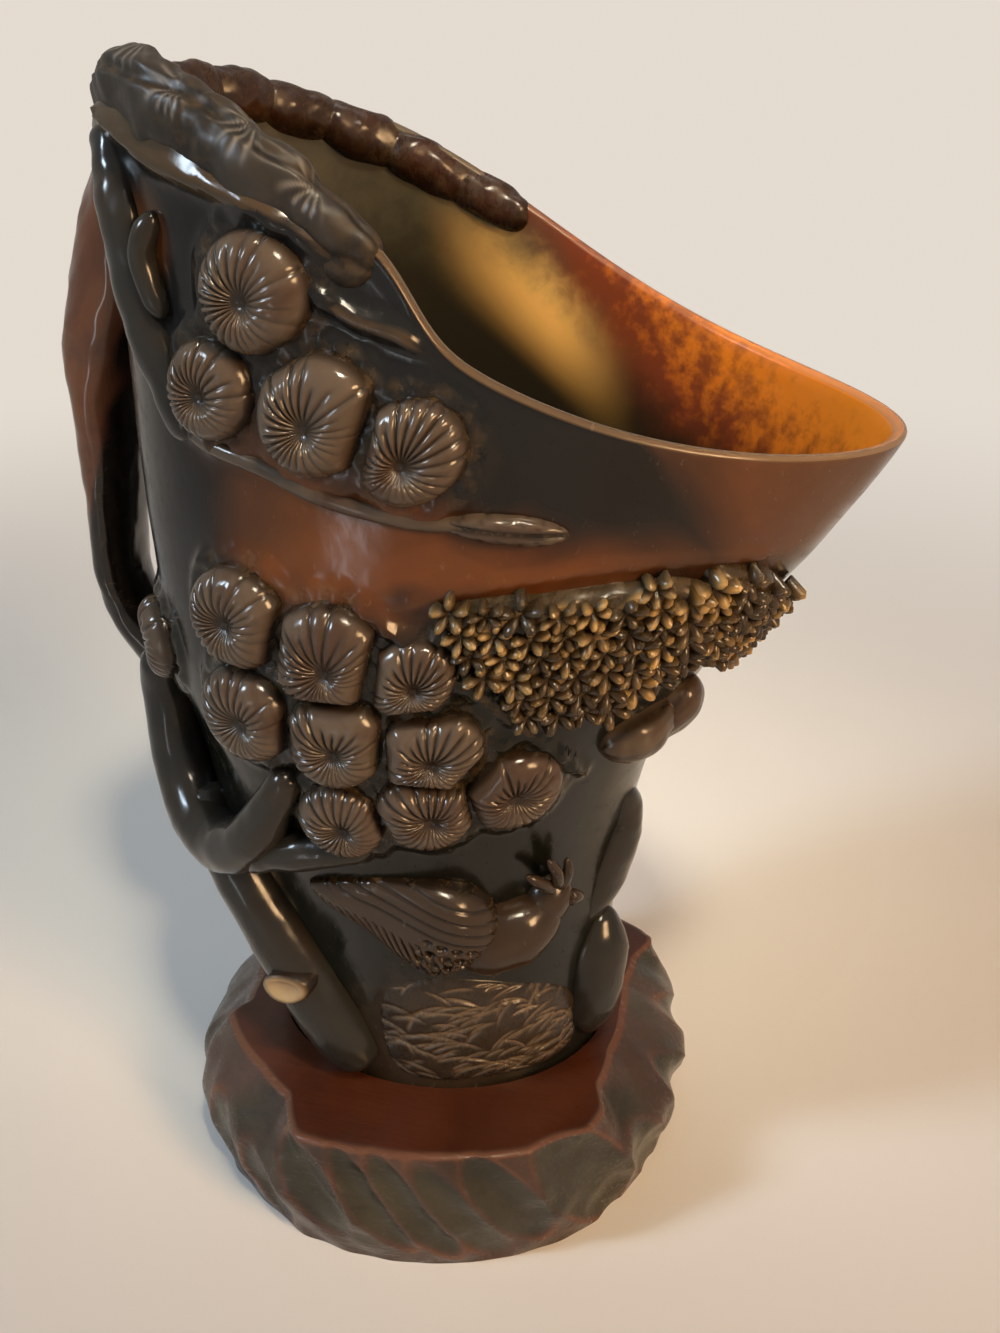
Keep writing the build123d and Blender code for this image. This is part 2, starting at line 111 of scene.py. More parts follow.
# %% [markdown]
# The rim is cut in one sweep: low at the pouring lip, high at the handle, with a crest on the front side
# only. A boolean could cut it, but then no other piece would know where the rim is. As a formula it tells
# the boughs that lie along it how high the wall stands at each angle.

# %% The rim
LIP_HEIGHT, HANDLE_RISE, RIM_MIDDLE, RIM_EASE = 114.5, 51, 3, 21
CREST_RISE, CREST_START, CREST_END = 9.0, (-36, 3.5), (13, 2)
RIM_STEPS = 60


def rim_height(x, front):
    """Height of the rim at x: a soft step from the handle down to the lip, plus the front's crest."""
    crest = CREST_RISE * soft(x, *CREST_START) * (1 - soft(x, *CREST_END))
    return LIP_HEIGHT + HANDLE_RISE * (1 - soft(x, RIM_MIDDLE, RIM_EASE)) + np.where(front, crest, 0)


def rim_at(angle):
    """Height where the wall meets the rim, found by stepping half of the way to it again and again."""
    height = np.full(np.shape(angle), LIP_HEIGHT)
    for _ in range(RIM_STEPS):
        x = wall(angle, height)[..., 0]
        height = height + 0.5 * (rim_height(x, np.sin(np.radians(angle)) < 0) - height)
    return height


print("lip reach", wall(0, rim_at(0.0)).round(1), "rim at the handle", rim_at(180.0).round(1))

# %% [markdown]
# A shape is a tuple of points, quads, triangles and one number per point that says how worn the place is.
# Crests of carving are rubbed bright and its grooves keep dirt, so that number later drives colour and gloss.
# On the lip of the wall, the crests of the blossoms and the near bough's fans it also carries painted
# highlights.
# Every shape is a grid whose two ends are closed with fans of triangles, so no mesh is left open.

# %% Closed grids
def closed_grid(points, worn, first=None, last=None):
    """Closes a grid of rows by columns: columns wrap round, and a fan shuts each end at its middle point."""
    rows, cols = points.shape[:2]
    i, j = np.meshgrid(np.arange(rows - 1), np.arange(cols), indexing="ij")
    k = (j + 1) % cols
    quads = np.stack([i * cols + j, i * cols + k, (i + 1) * cols + k, (i + 1) * cols + j], -1).reshape(-1, 4)
    j = np.arange(cols)
    k = (j + 1) % cols
    low = np.stack([np.full(cols, rows * cols), k, j], -1)
    high = np.stack([np.full(cols, rows * cols + 1), (rows - 1) * cols + j, (rows - 1) * cols + k], -1)
    ends = [points[0].mean(0) if first is None else first, points[-1].mean(0) if last is None else last]
    flat = np.vstack([points.reshape(-1, 3), ends])
    marks = np.append(worn.reshape(-1), [worn[0].mean(), worn[-1].mean()])
    tris = np.vstack([low, high])
    corners = np.vstack([quads[:, [0, 1, 2]], quads[:, [0, 2, 3]], tris])
    a, b, c = (flat[corners[:, n]] for n in range(3))
    if np.einsum("ij,ij->", a, np.cross(b, c)) < 0:  # a negative volume: the faces point inwards
        quads, tris = quads[:, ::-1], tris[:, ::-1]
    return flat, quads, tris, marks


def join(shapes):
    """Several shapes as one: their points one after another, and their faces counted on."""
    starts = np.cumsum([0] + [len(s[0]) for s in shapes])
    points = np.vstack([s[0] for s in shapes])
    quads = np.vstack([s[1] + n for s, n in zip(shapes, starts)])
    tris = np.vstack([s[2] + n for s, n in zip(shapes, starts)])
    return points, quads, tris, np.concatenate([s[3] for s in shapes])


sleeve = closed_grid(wall(np.arange(0, 360, 90.0), np.array([[0.0], [20.0], [40.0]])), np.ones((3, 4)))
print("a sleeve of 3 by 4 points closes with", len(sleeve[1]), "quads and", len(sleeve[2]), "triangles")

# %% [markdown]
# A finished shape goes into a mesh with foreach_set, which takes whole arrays and is far quicker than a
# loop. The same helper says which body of the construction the piece rides on and which solids it stands
# for, so that the cup's carving lifts with the cup.

# %% Putting a shape into the scene
def mark_points(mesh, name, values):
    """Keeps one number per point under a name, for the materials to read."""
    mesh.attributes.new(name, "FLOAT", "POINT").data.foreach_set("value", values.astype(np.float32))


def put_piece(name, shape, material, nodes, body="cup", sharp=None):
    """Puts a shape into a mesh object that rides on a body and stands for the given nodes."""
    points, quads, tris, worn = shape
    mesh = bpy.data.meshes.new(name)
    mesh.vertices.add(len(points))
    mesh.vertices.foreach_set("co", (points * MM).astype(np.float32).ravel())
    loops = np.concatenate([quads.ravel(), tris.ravel()]).astype(np.int32)
    starts = np.concatenate([np.arange(len(quads)) * 4, len(quads) * 4 + np.arange(len(tris)) * 3])
    mesh.loops.add(len(loops))
    mesh.loops.foreach_set("vertex_index", loops)
    mesh.polygons.add(len(starts))
    mesh.polygons.foreach_set("loop_start", starts.astype(np.int32))
    mesh.polygons.foreach_set("use_smooth", np.ones(len(starts), bool))
    mesh.update(calc_edges=True)
    mark_points(mesh, "worn", worn)
    if sharp:
        mesh.set_sharp_from_angle(angle=math.radians(sharp))
    piece = bpy.data.objects.new(name, mesh)
    bpy.context.collection.objects.link(piece)
    mesh.materials.append(material)
    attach(piece, body)
    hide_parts(*nodes)
    print(name, len(points), "points", 2 * len(quads) + len(tris), "triangles")
    return piece


# %% [markdown]
# Nothing on the cup is ruled or turned: every line wavers a little, because it was cut by hand. One helper
# draws a smooth line through a few stations, one blends one form into the next with a smooth step, and one
# adds waves in random directions. The waves come from a fixed seed, so the same unevenness comes back on
# every run.

# %% Lines and unevenness
WAVES = 8


def ramp(value, low, high):
    """A smooth step: 0 below low, 1 above high, and 3t^2 - 2t^3 between them."""
    t = np.clip((value - low) / (high - low), 0, 1)
    return t * t * (3 - 2 * t)


def uneven(points, length, seed):
    """Unevenness about zero: twice the mean of sine waves of about one length in random directions."""
    draw = np.random.default_rng(seed)
    ways = unit(draw.normal(size=(WAVES, 3))) * 2 * np.pi / (length * draw.uniform(0.7, 1.5, (WAVES, 1)))
    return np.sin(points @ ways.T + draw.uniform(0, 6.28, WAVES)).mean(-1) * 2


def through(points, count):
    """A smooth line through points (rows of numbers), as a Catmull-Rom curve of count points."""
    knots = np.asarray(points, float)
    knots = np.vstack([2 * knots[0] - knots[1], knots, 2 * knots[-1] - knots[-2]])
    t = np.linspace(0, len(points) - 1 - 1e-9, count)
    n = t.astype(int)
    t = (t - n)[:, None]
    a, b, c, d = (knots[n + k] for k in range(4))
    return 0.5 * (2 * b + (c - a) * t + (2 * a - 5 * b + 4 * c - d) * t**2 + (3 * b - a - 3 * c + d) * t**3)


print("half way through a bent line:", through([(0, 0), (10, 4), (20, 0)], 5)[1].round(2))

# %% [markdown]
# A finish is a tree of nodes. Written out one by one, a tree is long and hard to follow, so a few helpers
# make a node, feed its inputs and hand back its output. Then a finish reads like arithmetic with colours and
# masks.

# %% Node helpers
def feed(tree, socket, value):
    """Gives an input its value: a link where the value is another socket, and a plain setting otherwise."""
    if isinstance(value, bpy.types.NodeSocket):
        tree.links.new(value, socket)
    else:
        socket.default_value = value


def node(tree, kind, values=None, **settings):
    """A new node with its settings, and with inputs fed by name or by number."""
    made = tree.nodes.new(kind)
    for key, value in settings.items():
        setattr(made, key, value)
    for key, value in (values or {}).items():
        feed(tree, made.inputs[key], value)
    return made


def math_node(tree, operation, *values, clamp=False):
    """One step of arithmetic on numbers or sockets."""
    made = node(tree, "ShaderNodeMath", dict(enumerate(values)), operation=operation, use_clamp=clamp)
    return made.outputs[0]


def times(tree, one, other):
    """One value times another."""
    return math_node(tree, "MULTIPLY", one, other)


def opposite(tree, mask):
    """One minus a mask."""
    return math_node(tree, "SUBTRACT", 1.0, mask)


def mix_colour(tree, factor, one, other):
    """Goes from one colour to the other by a factor. A plain colour is red, green and blue."""
    made = node(tree, "ShaderNodeMix", data_type="RGBA")
    feed(tree, made.inputs[0], factor)
    for socket, colour in ((made.inputs[6], one), (made.inputs[7], other)):
        feed(tree, socket, (*colour, 1) if isinstance(colour, tuple) else colour)
    return made.outputs[2]


def spread(tree, value, low, high):
    """Stretches a value so that low becomes 0 and high becomes 1, smoothly and within those limits."""
    ends = {"Value": value, "From Min": low, "From Max": high}
    return node(tree, "ShaderNodeMapRange", ends, interpolation_type="SMOOTHSTEP").outputs["Result"]


def attribute(tree, name):
    """The number that the mesh keeps per point under a name."""
    return node(tree, "ShaderNodeAttribute", attribute_name=name).outputs["Fac"]


print("node helpers:", [helper.__name__ for helper in (node, math_node, mix_colour, spread, attribute)])

# %% [markdown]
# Horn is built up in layers like a fingernail. Polished, it is glossy and a little see-through: amber where
# it is thin and lit, red where it gets thicker, and nearly black where the pigment lies. The carving is worn
# bright on its crests and holds brown dust in its grooves. Effects that several finishes share are node
# groups: clouds of pigment, fine polishing marks, and groove dirt. A group only puts out colours, masks and
# heights, and each material keeps its own shader.

# %% Shared effects
def new_group(name, inputs, outputs):
    """An empty node group. An input's kind follows its default: a number, a colour, or None for a vector."""
    tree = bpy.data.node_groups.new(name, "ShaderNodeTree")
    for label, default in inputs.items():
        kind = "Vector" if default is None else "Color" if isinstance(default, tuple) else "Float"
        made = tree.interface.new_socket(label, in_out="INPUT", socket_type="NodeSocket" + kind)
        if default is not None:
            made.default_value = default
    for label, kind in outputs.items():
        tree.interface.new_socket(label, in_out="OUTPUT", socket_type="NodeSocket" + kind)
    return tree, tree.nodes.new("NodeGroupInput").outputs, tree.nodes.new("NodeGroupOutput").inputs


def make_clouds():
    """Pigment clouds: layered noise, pulled out of shape, stretched to a mask."""
    inputs = {"Vector": None, "Size": 0.02, "Low": 0.4, "High": 0.6, "Ragged": 1.0, "Detail": 6.0}
    tree, ins, outs = new_group("pigment_clouds", inputs, {"Mask": "Float"})
    scale = math_node(tree, "DIVIDE", 1.0, ins["Size"])
    look = {"Scale": scale, "Detail": ins["Detail"], "Roughness": 0.6, "Distortion": ins["Ragged"]}
    noise = node(tree, "ShaderNodeTexNoise", {"Vector": ins["Vector"], **look})
    tree.links.new(spread(tree, noise.outputs["Fac"], ins["Low"], ins["High"]), outs["Mask"])
    return tree


def make_marks():
    """Polishing marks: a fifth of long thin noise laid over soft waviness, as a height."""
    inputs = {"Vector": None, "Fine": 900.0, "Waves": 120.0}
    tree, ins, outs = new_group("polishing_marks", inputs, {"Height": "Float", "Mask": "Float"})
    drawn_out = {"Vector": ins["Vector"], "Rotation": (0.4, 0.7, 0.2), "Scale": (1, 0.12, 0.5)}
    strokes = node(tree, "ShaderNodeMapping", drawn_out).outputs[0]
    fine = node(tree, "ShaderNodeTexNoise", {"Vector": strokes, "Detail": 3.0, "Scale": ins["Fine"]})
    waves = node(tree, "ShaderNodeTexNoise", {"Vector": ins["Vector"], "Detail": 2.0, "Scale": ins["Waves"]})
    low, high = times(tree, waves.outputs["Fac"], 0.8), times(tree, fine.outputs["Fac"], 0.2)
    tree.links.new(math_node(tree, "ADD", low, high), outs["Height"])
    tree.links.new(spread(tree, fine.outputs["Fac"], 0.35, 0.75), outs["Mask"])
    return tree


def make_dirt():
    """Groove dirt: where the worn number is low, and a speckled noise allows it, dust hides the horn."""
    inputs = {"Vector": None, "Worn": 0.5, "Clean": (0, 0, 0, 1), "Dust": (0.2, 0.12, 0.05, 1), "Amount": 0.6}
    tree, ins, outs = new_group("groove_dirt", inputs, {"Color": "Color", "Mask": "Float"})
    look = {"Scale": 420.0, "Detail": 4.0, "Roughness": 0.7}
    speckle = node(tree, "ShaderNodeTexNoise", {"Vector": ins["Vector"], **look})
    deep = opposite(tree, spread(tree, ins["Worn"], 0.02, 0.42))
    patchy = spread(tree, speckle.outputs["Fac"], 0.38, 0.66)
    mask = math_node(tree, "MULTIPLY", times(tree, deep, patchy), ins["Amount"], clamp=True)
    tree.links.new(mix_colour(tree, mask, ins["Clean"], ins["Dust"]), outs["Color"])
    tree.links.new(mask, outs["Mask"])
    return tree


CLOUDS, MARKS, DIRT = make_clouds(), make_marks(), make_dirt()
print("shared effects:", [group.name for group in (CLOUDS, MARKS, DIRT)])

# %% [markdown]
# Each finish starts from the same shader and places the shared effects with its own values: horn and
# polished wood both have a clear gloss over a slightly dull ground. Polishing marks are put in as a bump,
# because they are much smaller than any face of a mesh.

# %% Finish helpers
def start_material(name, roughness, coat):
    """A material with a shader for horn or polished wood, its node tree, and the Object coordinates."""
    material = bpy.data.materials.new(name)
    material.use_nodes = True
    tree = material.node_tree
    tree.nodes.clear()
    polish = {"Roughness": roughness, "Coat Weight": coat, "Coat Roughness": 0.1}
    shader = node(tree, "ShaderNodeBsdfPrincipled", {**polish, "IOR": 1.5, "Specular IOR Level": 0.32})
    node(tree, "ShaderNodeOutputMaterial", {0: shader.outputs[0]})
    place = node(tree, "ShaderNodeTexCoord").outputs["Object"]
    return material, tree, shader, place


def use_group(tree, group, **values):
    """Places a shared effect with its own values and hands back its outputs."""
    return node(tree, "ShaderNodeGroup", values, node_tree=group).outputs


def clouds(tree, place, size, low, high, ragged, detail=6.0):
    """A mask of pigment clouds about size metres wide."""
    look = {"Size": size, "Low": low, "High": high, "Ragged": ragged, "Detail": detail}
    return use_group(tree, CLOUDS, Vector=place, **look)["Mask"]


def add_bump(tree, shader, height, strength, distance):
    """Turns a height into small tilts of the surface."""
    bump = node(tree, "ShaderNodeBump", {"Height": height, "Strength": strength, "Distance": distance})
    tree.links.new(bump.outputs[0], shader.inputs["Normal"])


def add_polish(tree, shader, place, dirt, rough, fine, waves, dulled, bump, depth):
    """Gloss of horn: a roughness, dulled by polishing marks and more by dirt, and the marks as a bump."""
    marks = use_group(tree, MARKS, Vector=place, Fine=fine, Waves=waves)
    marked = math_node(tree, "MULTIPLY_ADD", marks["Mask"], dulled, rough)
    tree.links.new(math_node(tree, "MULTIPLY_ADD", dirt, 0.4, marked), shader.inputs["Roughness"])
    add_bump(tree, shader, marks["Height"], bump, depth)


print("finish helpers:", [helper.__name__ for helper in (start_material, clouds, add_bump, add_polish)])

# %% [markdown]
# Zones of colour are simple functions of the Object coordinates, made ragged by the pigment clouds, so they
# stay where they are on the cup and need no picture. A zone fades in along a direction, and spots are round.

# %% Zones and spots of colour
def zone(tree, place, limits, cloudy=None):
    """A zone of colour: a weighted sum of x, y and z in metres, made ragged by clouds, between limits."""
    way, low, high, ragged = limits
    along = node(tree, "ShaderNodeVectorMath", {0: place, 1: way}, operation="DOT_PRODUCT").outputs["Value"]
    if cloudy is not None:
        along = math_node(tree, "ADD", along, times(tree, cloudy, ragged))
    return spread(tree, along, low, high)


def spots(tree, place, cloudy, ragged, centres):
    """A mask of round spots (x, y, z and radius in mm, the same on front and back), made ragged by clouds."""
    x, y, z = node(tree, "ShaderNodeSeparateXYZ", {0: place}).outputs
    front = {0: x, 1: math_node(tree, "ABSOLUTE", y), 2: z}
    folded = node(tree, "ShaderNodeCombineXYZ", front).outputs[0]
    mask = None
    for *centre, radius in centres:
        ends = {0: folded, 1: [c * MM for c in centre]}
        away = node(tree, "ShaderNodeVectorMath", ends, operation="DISTANCE").outputs["Value"]
        away = math_node(tree, "MULTIPLY_ADD", cloudy, ragged, away)
        spot = opposite(tree, spread(tree, away, 0.3 * radius * MM, 1.2 * radius * MM))
        mask = spot if mask is None else math_node(tree, "MAXIMUM", mask, spot)
    return mask


print("colour helpers:", [helper.__name__ for helper in (zone, spots)])

# %% [markdown]
# The wall is the most colourful finish. Outside, a band of amber runs below the crest and turns brown
# towards the lip. Black clouds lie on it, and the wall below the band is nearly black, with brown at the
# foot. Painting this would need a picture; here the colours are laid over each other in zones, and each one
# covers those before it.

# %% Outside of the wall
AMBER, LIP_BROWN, DEEP_AMBER = (0.14, 0.046, 0.012), (0.1, 0.05, 0.024), (0.07, 0.022, 0.007)
BLACK_HORN, SPOT_BLACK, FOOT_BLACK = (0.009, 0.009, 0.009), (0.008, 0.006, 0.005), (0.008, 0.0085, 0.006)
GROUND_BROWN, RIDGE_BROWN = (0.045, 0.03, 0.018), (0.1, 0.062, 0.03)
# Spots are how ragged they are in metres, and their centres and radii in millimetres.
AMBER_SPOTS = 0.004, [(-29, 34, 168, 9)]
BLACK_SPOTS = 0.007, [(40, 34, 141, 8), (37, 35, 136, 6), (10, 41, 123, 8), (46, 29, 123, 7)]
GROUND_SPOTS = 0.006, [(8, 27, 33, 22)]
# A zone is a direction, where it starts and is full along that direction, and how ragged it is, in metres.
BAND_TOP, BAND_BOTTOM = ((0.3, 0.0, 1.0), 0.138, 0.15, 0.006), ((0.0, 0.0, 1.0), 0.119, 0.132, 0.008)
BAND_LIP_END, BAND_HANDLE_END = ((1.0, 0.0, 0.3), 0.086, 0.104, 0.01), ((1.0, 0.0, 0.0), -0.022, 0.004, 0.01)
ABOVE_FOOT = (-0.12, 0.0, 1.0), 0.113, 0.124, 0.004


def outside_colour(tree, place, worn, lip, big, small):
    """Outside: a slanting amber band with black spots, black under it, a brown foot, rubbed ridges."""
    below = opposite(tree, zone(tree, place, BAND_TOP, big))
    below = math_node(tree, "MAXIMUM", below, zone(tree, place, BAND_LIP_END, big))
    band = times(tree, zone(tree, place, BAND_BOTTOM, big), below)
    band = times(tree, band, zone(tree, place, BAND_HANDLE_END, big))
    amber = math_node(tree, "MAXIMUM", band, spots(tree, place, big, *AMBER_SPOTS))
    lit = mix_colour(tree, lip, AMBER, LIP_BROWN)
    lit = mix_colour(tree, times(tree, small, 0.2), lit, DEEP_AMBER)
    horn = mix_colour(tree, amber, BLACK_HORN, lit)
    horn = mix_colour(tree, times(tree, spots(tree, place, big, *BLACK_SPOTS), 0.85), horn, SPOT_BLACK)
    horn = mix_colour(tree, zone(tree, place, ABOVE_FOOT, small), FOOT_BLACK, horn)
    horn = mix_colour(tree, spots(tree, place, small, *GROUND_SPOTS), horn, GROUND_BROWN)
    return mix_colour(tree, times(tree, spread(tree, worn, 0.68, 0.85), 0.6), horn, RIDGE_BROWN)


print("amber band between", BAND_BOTTOM[1], "and", BAND_TOP[2], "m, with", len(BLACK_SPOTS[1]), "black spots")

# %% [markdown]
# Inside, the horn is olive and darker downwards, which is painted shade deeper in the cup. A painted gold
# highlight crosses it where light falls in, and towards the lip it turns red and then orange, where light
# comes through the thin wall. Real translucency would be slow to render and hard to steer, so the glow is
# painted in zones too, and so are the gold highlight and the shade.

# %% Inside of the wall
# The deepest olive is painted shade low in the cup.
OLIVE_DARK, OLIVE_LIGHT, PAINTED_SHADE_OLIVE = (0.055, 0.049, 0.032), (0.095, 0.083, 0.05), (0.022, 0.019, 0.012)
LIP_RED, LIP_ORANGE, PAINTED_GOLD_HIGHLIGHT = (0.19, 0.04, 0.012), (0.85, 0.24, 0.016), (0.9, 0.53, 0.15)
# Painted shade for the bottom of the inside.
PAINTED_BOTTOM_SHADE = (0.016, 0.014, 0.009)
OLIVE_TOP, SHADE_TOP = ((0.35, 0.0, 1.0), 0.125, 0.185, 0.0), ((0.5, 0.0, 1.0), 0.141, 0.157, 0.004)
RED_START, ORANGE_START = ((1.0, 0.73, 0.6), 0.13, 0.147, 0.01), ((1.0, 0.73, 0.6), 0.142, 0.164, 0.012)
# The painted gold highlight lies between these four zones.
GOLD_BOTTOM, GOLD_TOP = ((0.76, 0.0, 1.0), 0.138, 0.152, 0.0), ((0.76, 0.0, 1.0), 0.153, 0.167, 0.004)
GOLD_START, GOLD_END = ((1.0, 0.73, 0.0), 0.01, 0.038, 0.0), ((1.0, 0.73, 0.0), 0.036, 0.052, 0.0)


def inside_colour(tree, place, big, small):
    """Inside: olive with painted shade lower down and at the bottom, a painted glow of red and speckled
    orange to the lip, and a painted gold highlight.
    """
    grain = clouds(tree, place, 0.003, 0.3, 0.7, 0.1)
    olive = mix_colour(tree, small, OLIVE_DARK, OLIVE_LIGHT)
    # Painted shade: the olive darkens deeper down in the cup.
    olive = mix_colour(tree, zone(tree, place, OLIVE_TOP), PAINTED_SHADE_OLIVE, olive)
    horn = mix_colour(tree, zone(tree, place, RED_START, big), olive, LIP_RED)
    horn = mix_colour(tree, zone(tree, place, ORANGE_START, grain), horn, LIP_ORANGE)
    # Painted shade at the bottom of the inside.
    shade = opposite(tree, zone(tree, place, SHADE_TOP, small))
    horn = mix_colour(tree, times(tree, shade, 0.92), horn, PAINTED_BOTTOM_SHADE)
    # A painted gold highlight across the far inside wall, where light falls in.
    under = opposite(tree, zone(tree, place, GOLD_TOP, small))
    gold = times(tree, zone(tree, place, GOLD_BOTTOM), under)
    before = opposite(tree, zone(tree, place, GOLD_END))
    gold = times(tree, gold, times(tree, zone(tree, place, GOLD_START), before))
    return mix_colour(tree, times(tree, gold, 0.9), horn, PAINTED_GOLD_HIGHLIGHT)


print("gold sheen between", GOLD_BOTTOM[1], "and", GOLD_TOP[2], "m")

# %% [markdown]
# The wall's finish joins both sides: a mark on the mesh says which points lie inside. Dirt sits in the
# grooves, and a pale painted highlight runs along the edge of the lip. The inside is a little duller than the
# outside, which gives it a satin look.

# %% Polished wall
TOWARDS_LIP = (1.0, 0.0, 0.0), 0.03, 0.08, 0.0
# The pale painted highlight of the lip, and the dust in the grooves.
PAINTED_LIP_HIGHLIGHT, WALL_DUST = (0.3, 0.2, 0.12), (0.16, 0.1, 0.04, 1)


def wall_horn():
    """Polished horn: outside or inside colour, dirt in the grooves, and a pale painted highlight at the lip.
    """
    material, tree, shader, place = start_material("polished_horn", 0.22, 0.05)
    worn, inside = attribute(tree, "worn"), attribute(tree, "inside")
    big = clouds(tree, place, 0.03, 0.3, 0.7, 0.6, detail=2.5)
    small = clouds(tree, place, 0.005, 0.3, 0.7, 0.25)
    lip = zone(tree, place, TOWARDS_LIP)
    outside = outside_colour(tree, place, worn, lip, big, small)
    horn = mix_colour(tree, inside, outside, inside_colour(tree, place, big, small))
    dirty = use_group(tree, DIRT, Vector=place, Worn=worn, Clean=horn, Dust=WALL_DUST, Amount=0.6)
    # A pale painted highlight along the edge of the lip, stronger towards the pouring lip.
    edge = times(tree, spread(tree, worn, 0.92, 1.0), math_node(tree, "MULTIPLY_ADD", lip, 0.4, 0.2))
    tree.links.new(mix_colour(tree, edge, dirty["Color"], PAINTED_LIP_HIGHLIGHT), shader.inputs["Base Color"])
    satin = math_node(tree, "MULTIPLY_ADD", inside, 0.16, 0.15)
    marks = {"fine": 700.0, "waves": 90.0, "dulled": 0.14, "bump": 0.25, "depth": 0.0006}
    add_polish(tree, shader, place, dirty["Mask"], satin, **marks)
    return material


WALL_HORN = wall_horn()
print("wall finish:", WALL_HORN.name, "of", len(WALL_HORN.node_tree.nodes), "nodes")

# %% [markdown]
# The carving is the same horn, but each motif was left more or less dark and more or less polished: the
# tufts are brown, the blossoms dark with a painted gold glint on their crests, the branches nearly black,
# and the handle red and glossy. One function makes them all. It takes the colour in the grooves, on the
# crests and where the pigment is thin.

# %% Carved horn
CARVING_DUST = (0.15, 0.095, 0.04, 1)


def carved_horn(name, low, high, glow, rough, dust=0.6, bump=0.3, coat=0.1, crest=0.1):
    """Carved horn: low in the grooves, high on what is worn past crest, and glow where pigment is thin."""
    material, tree, shader, place = start_material(name, rough, coat)
    worn = attribute(tree, "worn")
    horn = mix_colour(tree, spread(tree, worn, crest, 0.95), low, high)
    thin = times(tree, clouds(tree, place, 0.014, 0.42, 0.68, 0.6), times(tree, worn, 0.8))
    horn = mix_colour(tree, thin, horn, glow)
    dirty = use_group(tree, DIRT, Vector=place, Worn=worn, Clean=horn, Dust=CARVING_DUST, Amount=dust)
    tree.links.new(dirty["Color"], shader.inputs["Base Color"])
    marks = {"fine": 1100.0, "waves": 260.0, "dulled": 0.12, "bump": bump, "depth": 0.0005}
    add_polish(tree, shader, place, dirty["Mask"], rough, **marks)
    return material


TUFT_HORN = carved_horn(
    "carved_horn", (0.011, 0.008, 0.006), (0.105, 0.077, 0.054), (0.042, 0.017, 0.008), rough=0.15, bump=0.25)
BRANCH_HORN = carved_horn(
    "branch_horn", (0.007, 0.007, 0.006), (0.024, 0.023, 0.02), (0.03, 0.02, 0.012), rough=0.15, dust=0.2,
    bump=0.06)
# The gold high colour of the blossoms is a painted glint on their crests.
BLOSSOM_HORN = carved_horn(
    "blossom_horn", (0.04, 0.028, 0.015), (0.54, 0.34, 0.12), (0.075, 0.045, 0.018), rough=0.18, dust=0.3,
    crest=0.28)
BIRD_HORN = carved_horn(
    "bird_horn", (0.009, 0.007, 0.005), (0.042, 0.028, 0.018), (0.048, 0.025, 0.011), rough=0.16, dust=0.5,
    bump=0.15)
GROUND_HORN = carved_horn(
    "ground_horn", (0.018, 0.013, 0.009), (0.17, 0.12, 0.078), (0.05, 0.032, 0.018), rough=0.24, dust=0.15)
# Its pale high colour is a painted highlight on the scratched fans.
BOUGH_HORN = carved_horn(
    "bough_horn", (0.009, 0.007, 0.005), (0.165, 0.146, 0.124), (0.02, 0.011, 0.006), rough=0.36, dust=0.3,
    bump=0.2, coat=0.0)
LOBE_HORN = carved_horn(
    "lobe_horn", (0.016, 0.008, 0.005), (0.075, 0.03, 0.018), (0.1, 0.03, 0.011), rough=0.2, dust=0.4)
HANDLE_HORN = carved_horn(
    "red_horn", (0.008, 0.006, 0.005), (0.105, 0.039, 0.02), (0.17, 0.064, 0.028), rough=0.1, dust=0.1,
    bump=0.05, coat=0.4)
CUT_HORN = carved_horn(
    "amber_cut", (0.01, 0.007, 0.005), (0.42, 0.31, 0.17), (0.2, 0.07, 0.02), rough=0.3, dust=0.0)
carved = [TUFT_HORN, BRANCH_HORN, BLOSSOM_HORN, BIRD_HORN, GROUND_HORN, BOUGH_HORN, LOBE_HORN, HANDLE_HORN,
          CUT_HORN]
print(len(carved), "carved finishes:", [finish.name for finish in carved])

# %% [markdown]
# The stand is dark stained hardwood with a satin polish. Its flat top is smooth and red-brown, the gouged
# sides are greener and duller, and every ridge is rubbed through to a lighter red. Grain is a stretched
# noise, and the worn number of the mesh marks the ridges.

# %% Stained wood
# Each stain has a dark and a light colour.
GOUGED_STAIN = (0.024, 0.022, 0.014), (0.054, 0.048, 0.031)
UNCUT_STAIN = (0.05, 0.027, 0.019), (0.085, 0.05, 0.037)
TOP_STAIN = (0.05, 0.013, 0.005), (0.075, 0.02, 0.008)
GRAIN_DARK, RUBBED_RIDGE = (0.02, 0.011, 0.007), (0.16, 0.064, 0.031)


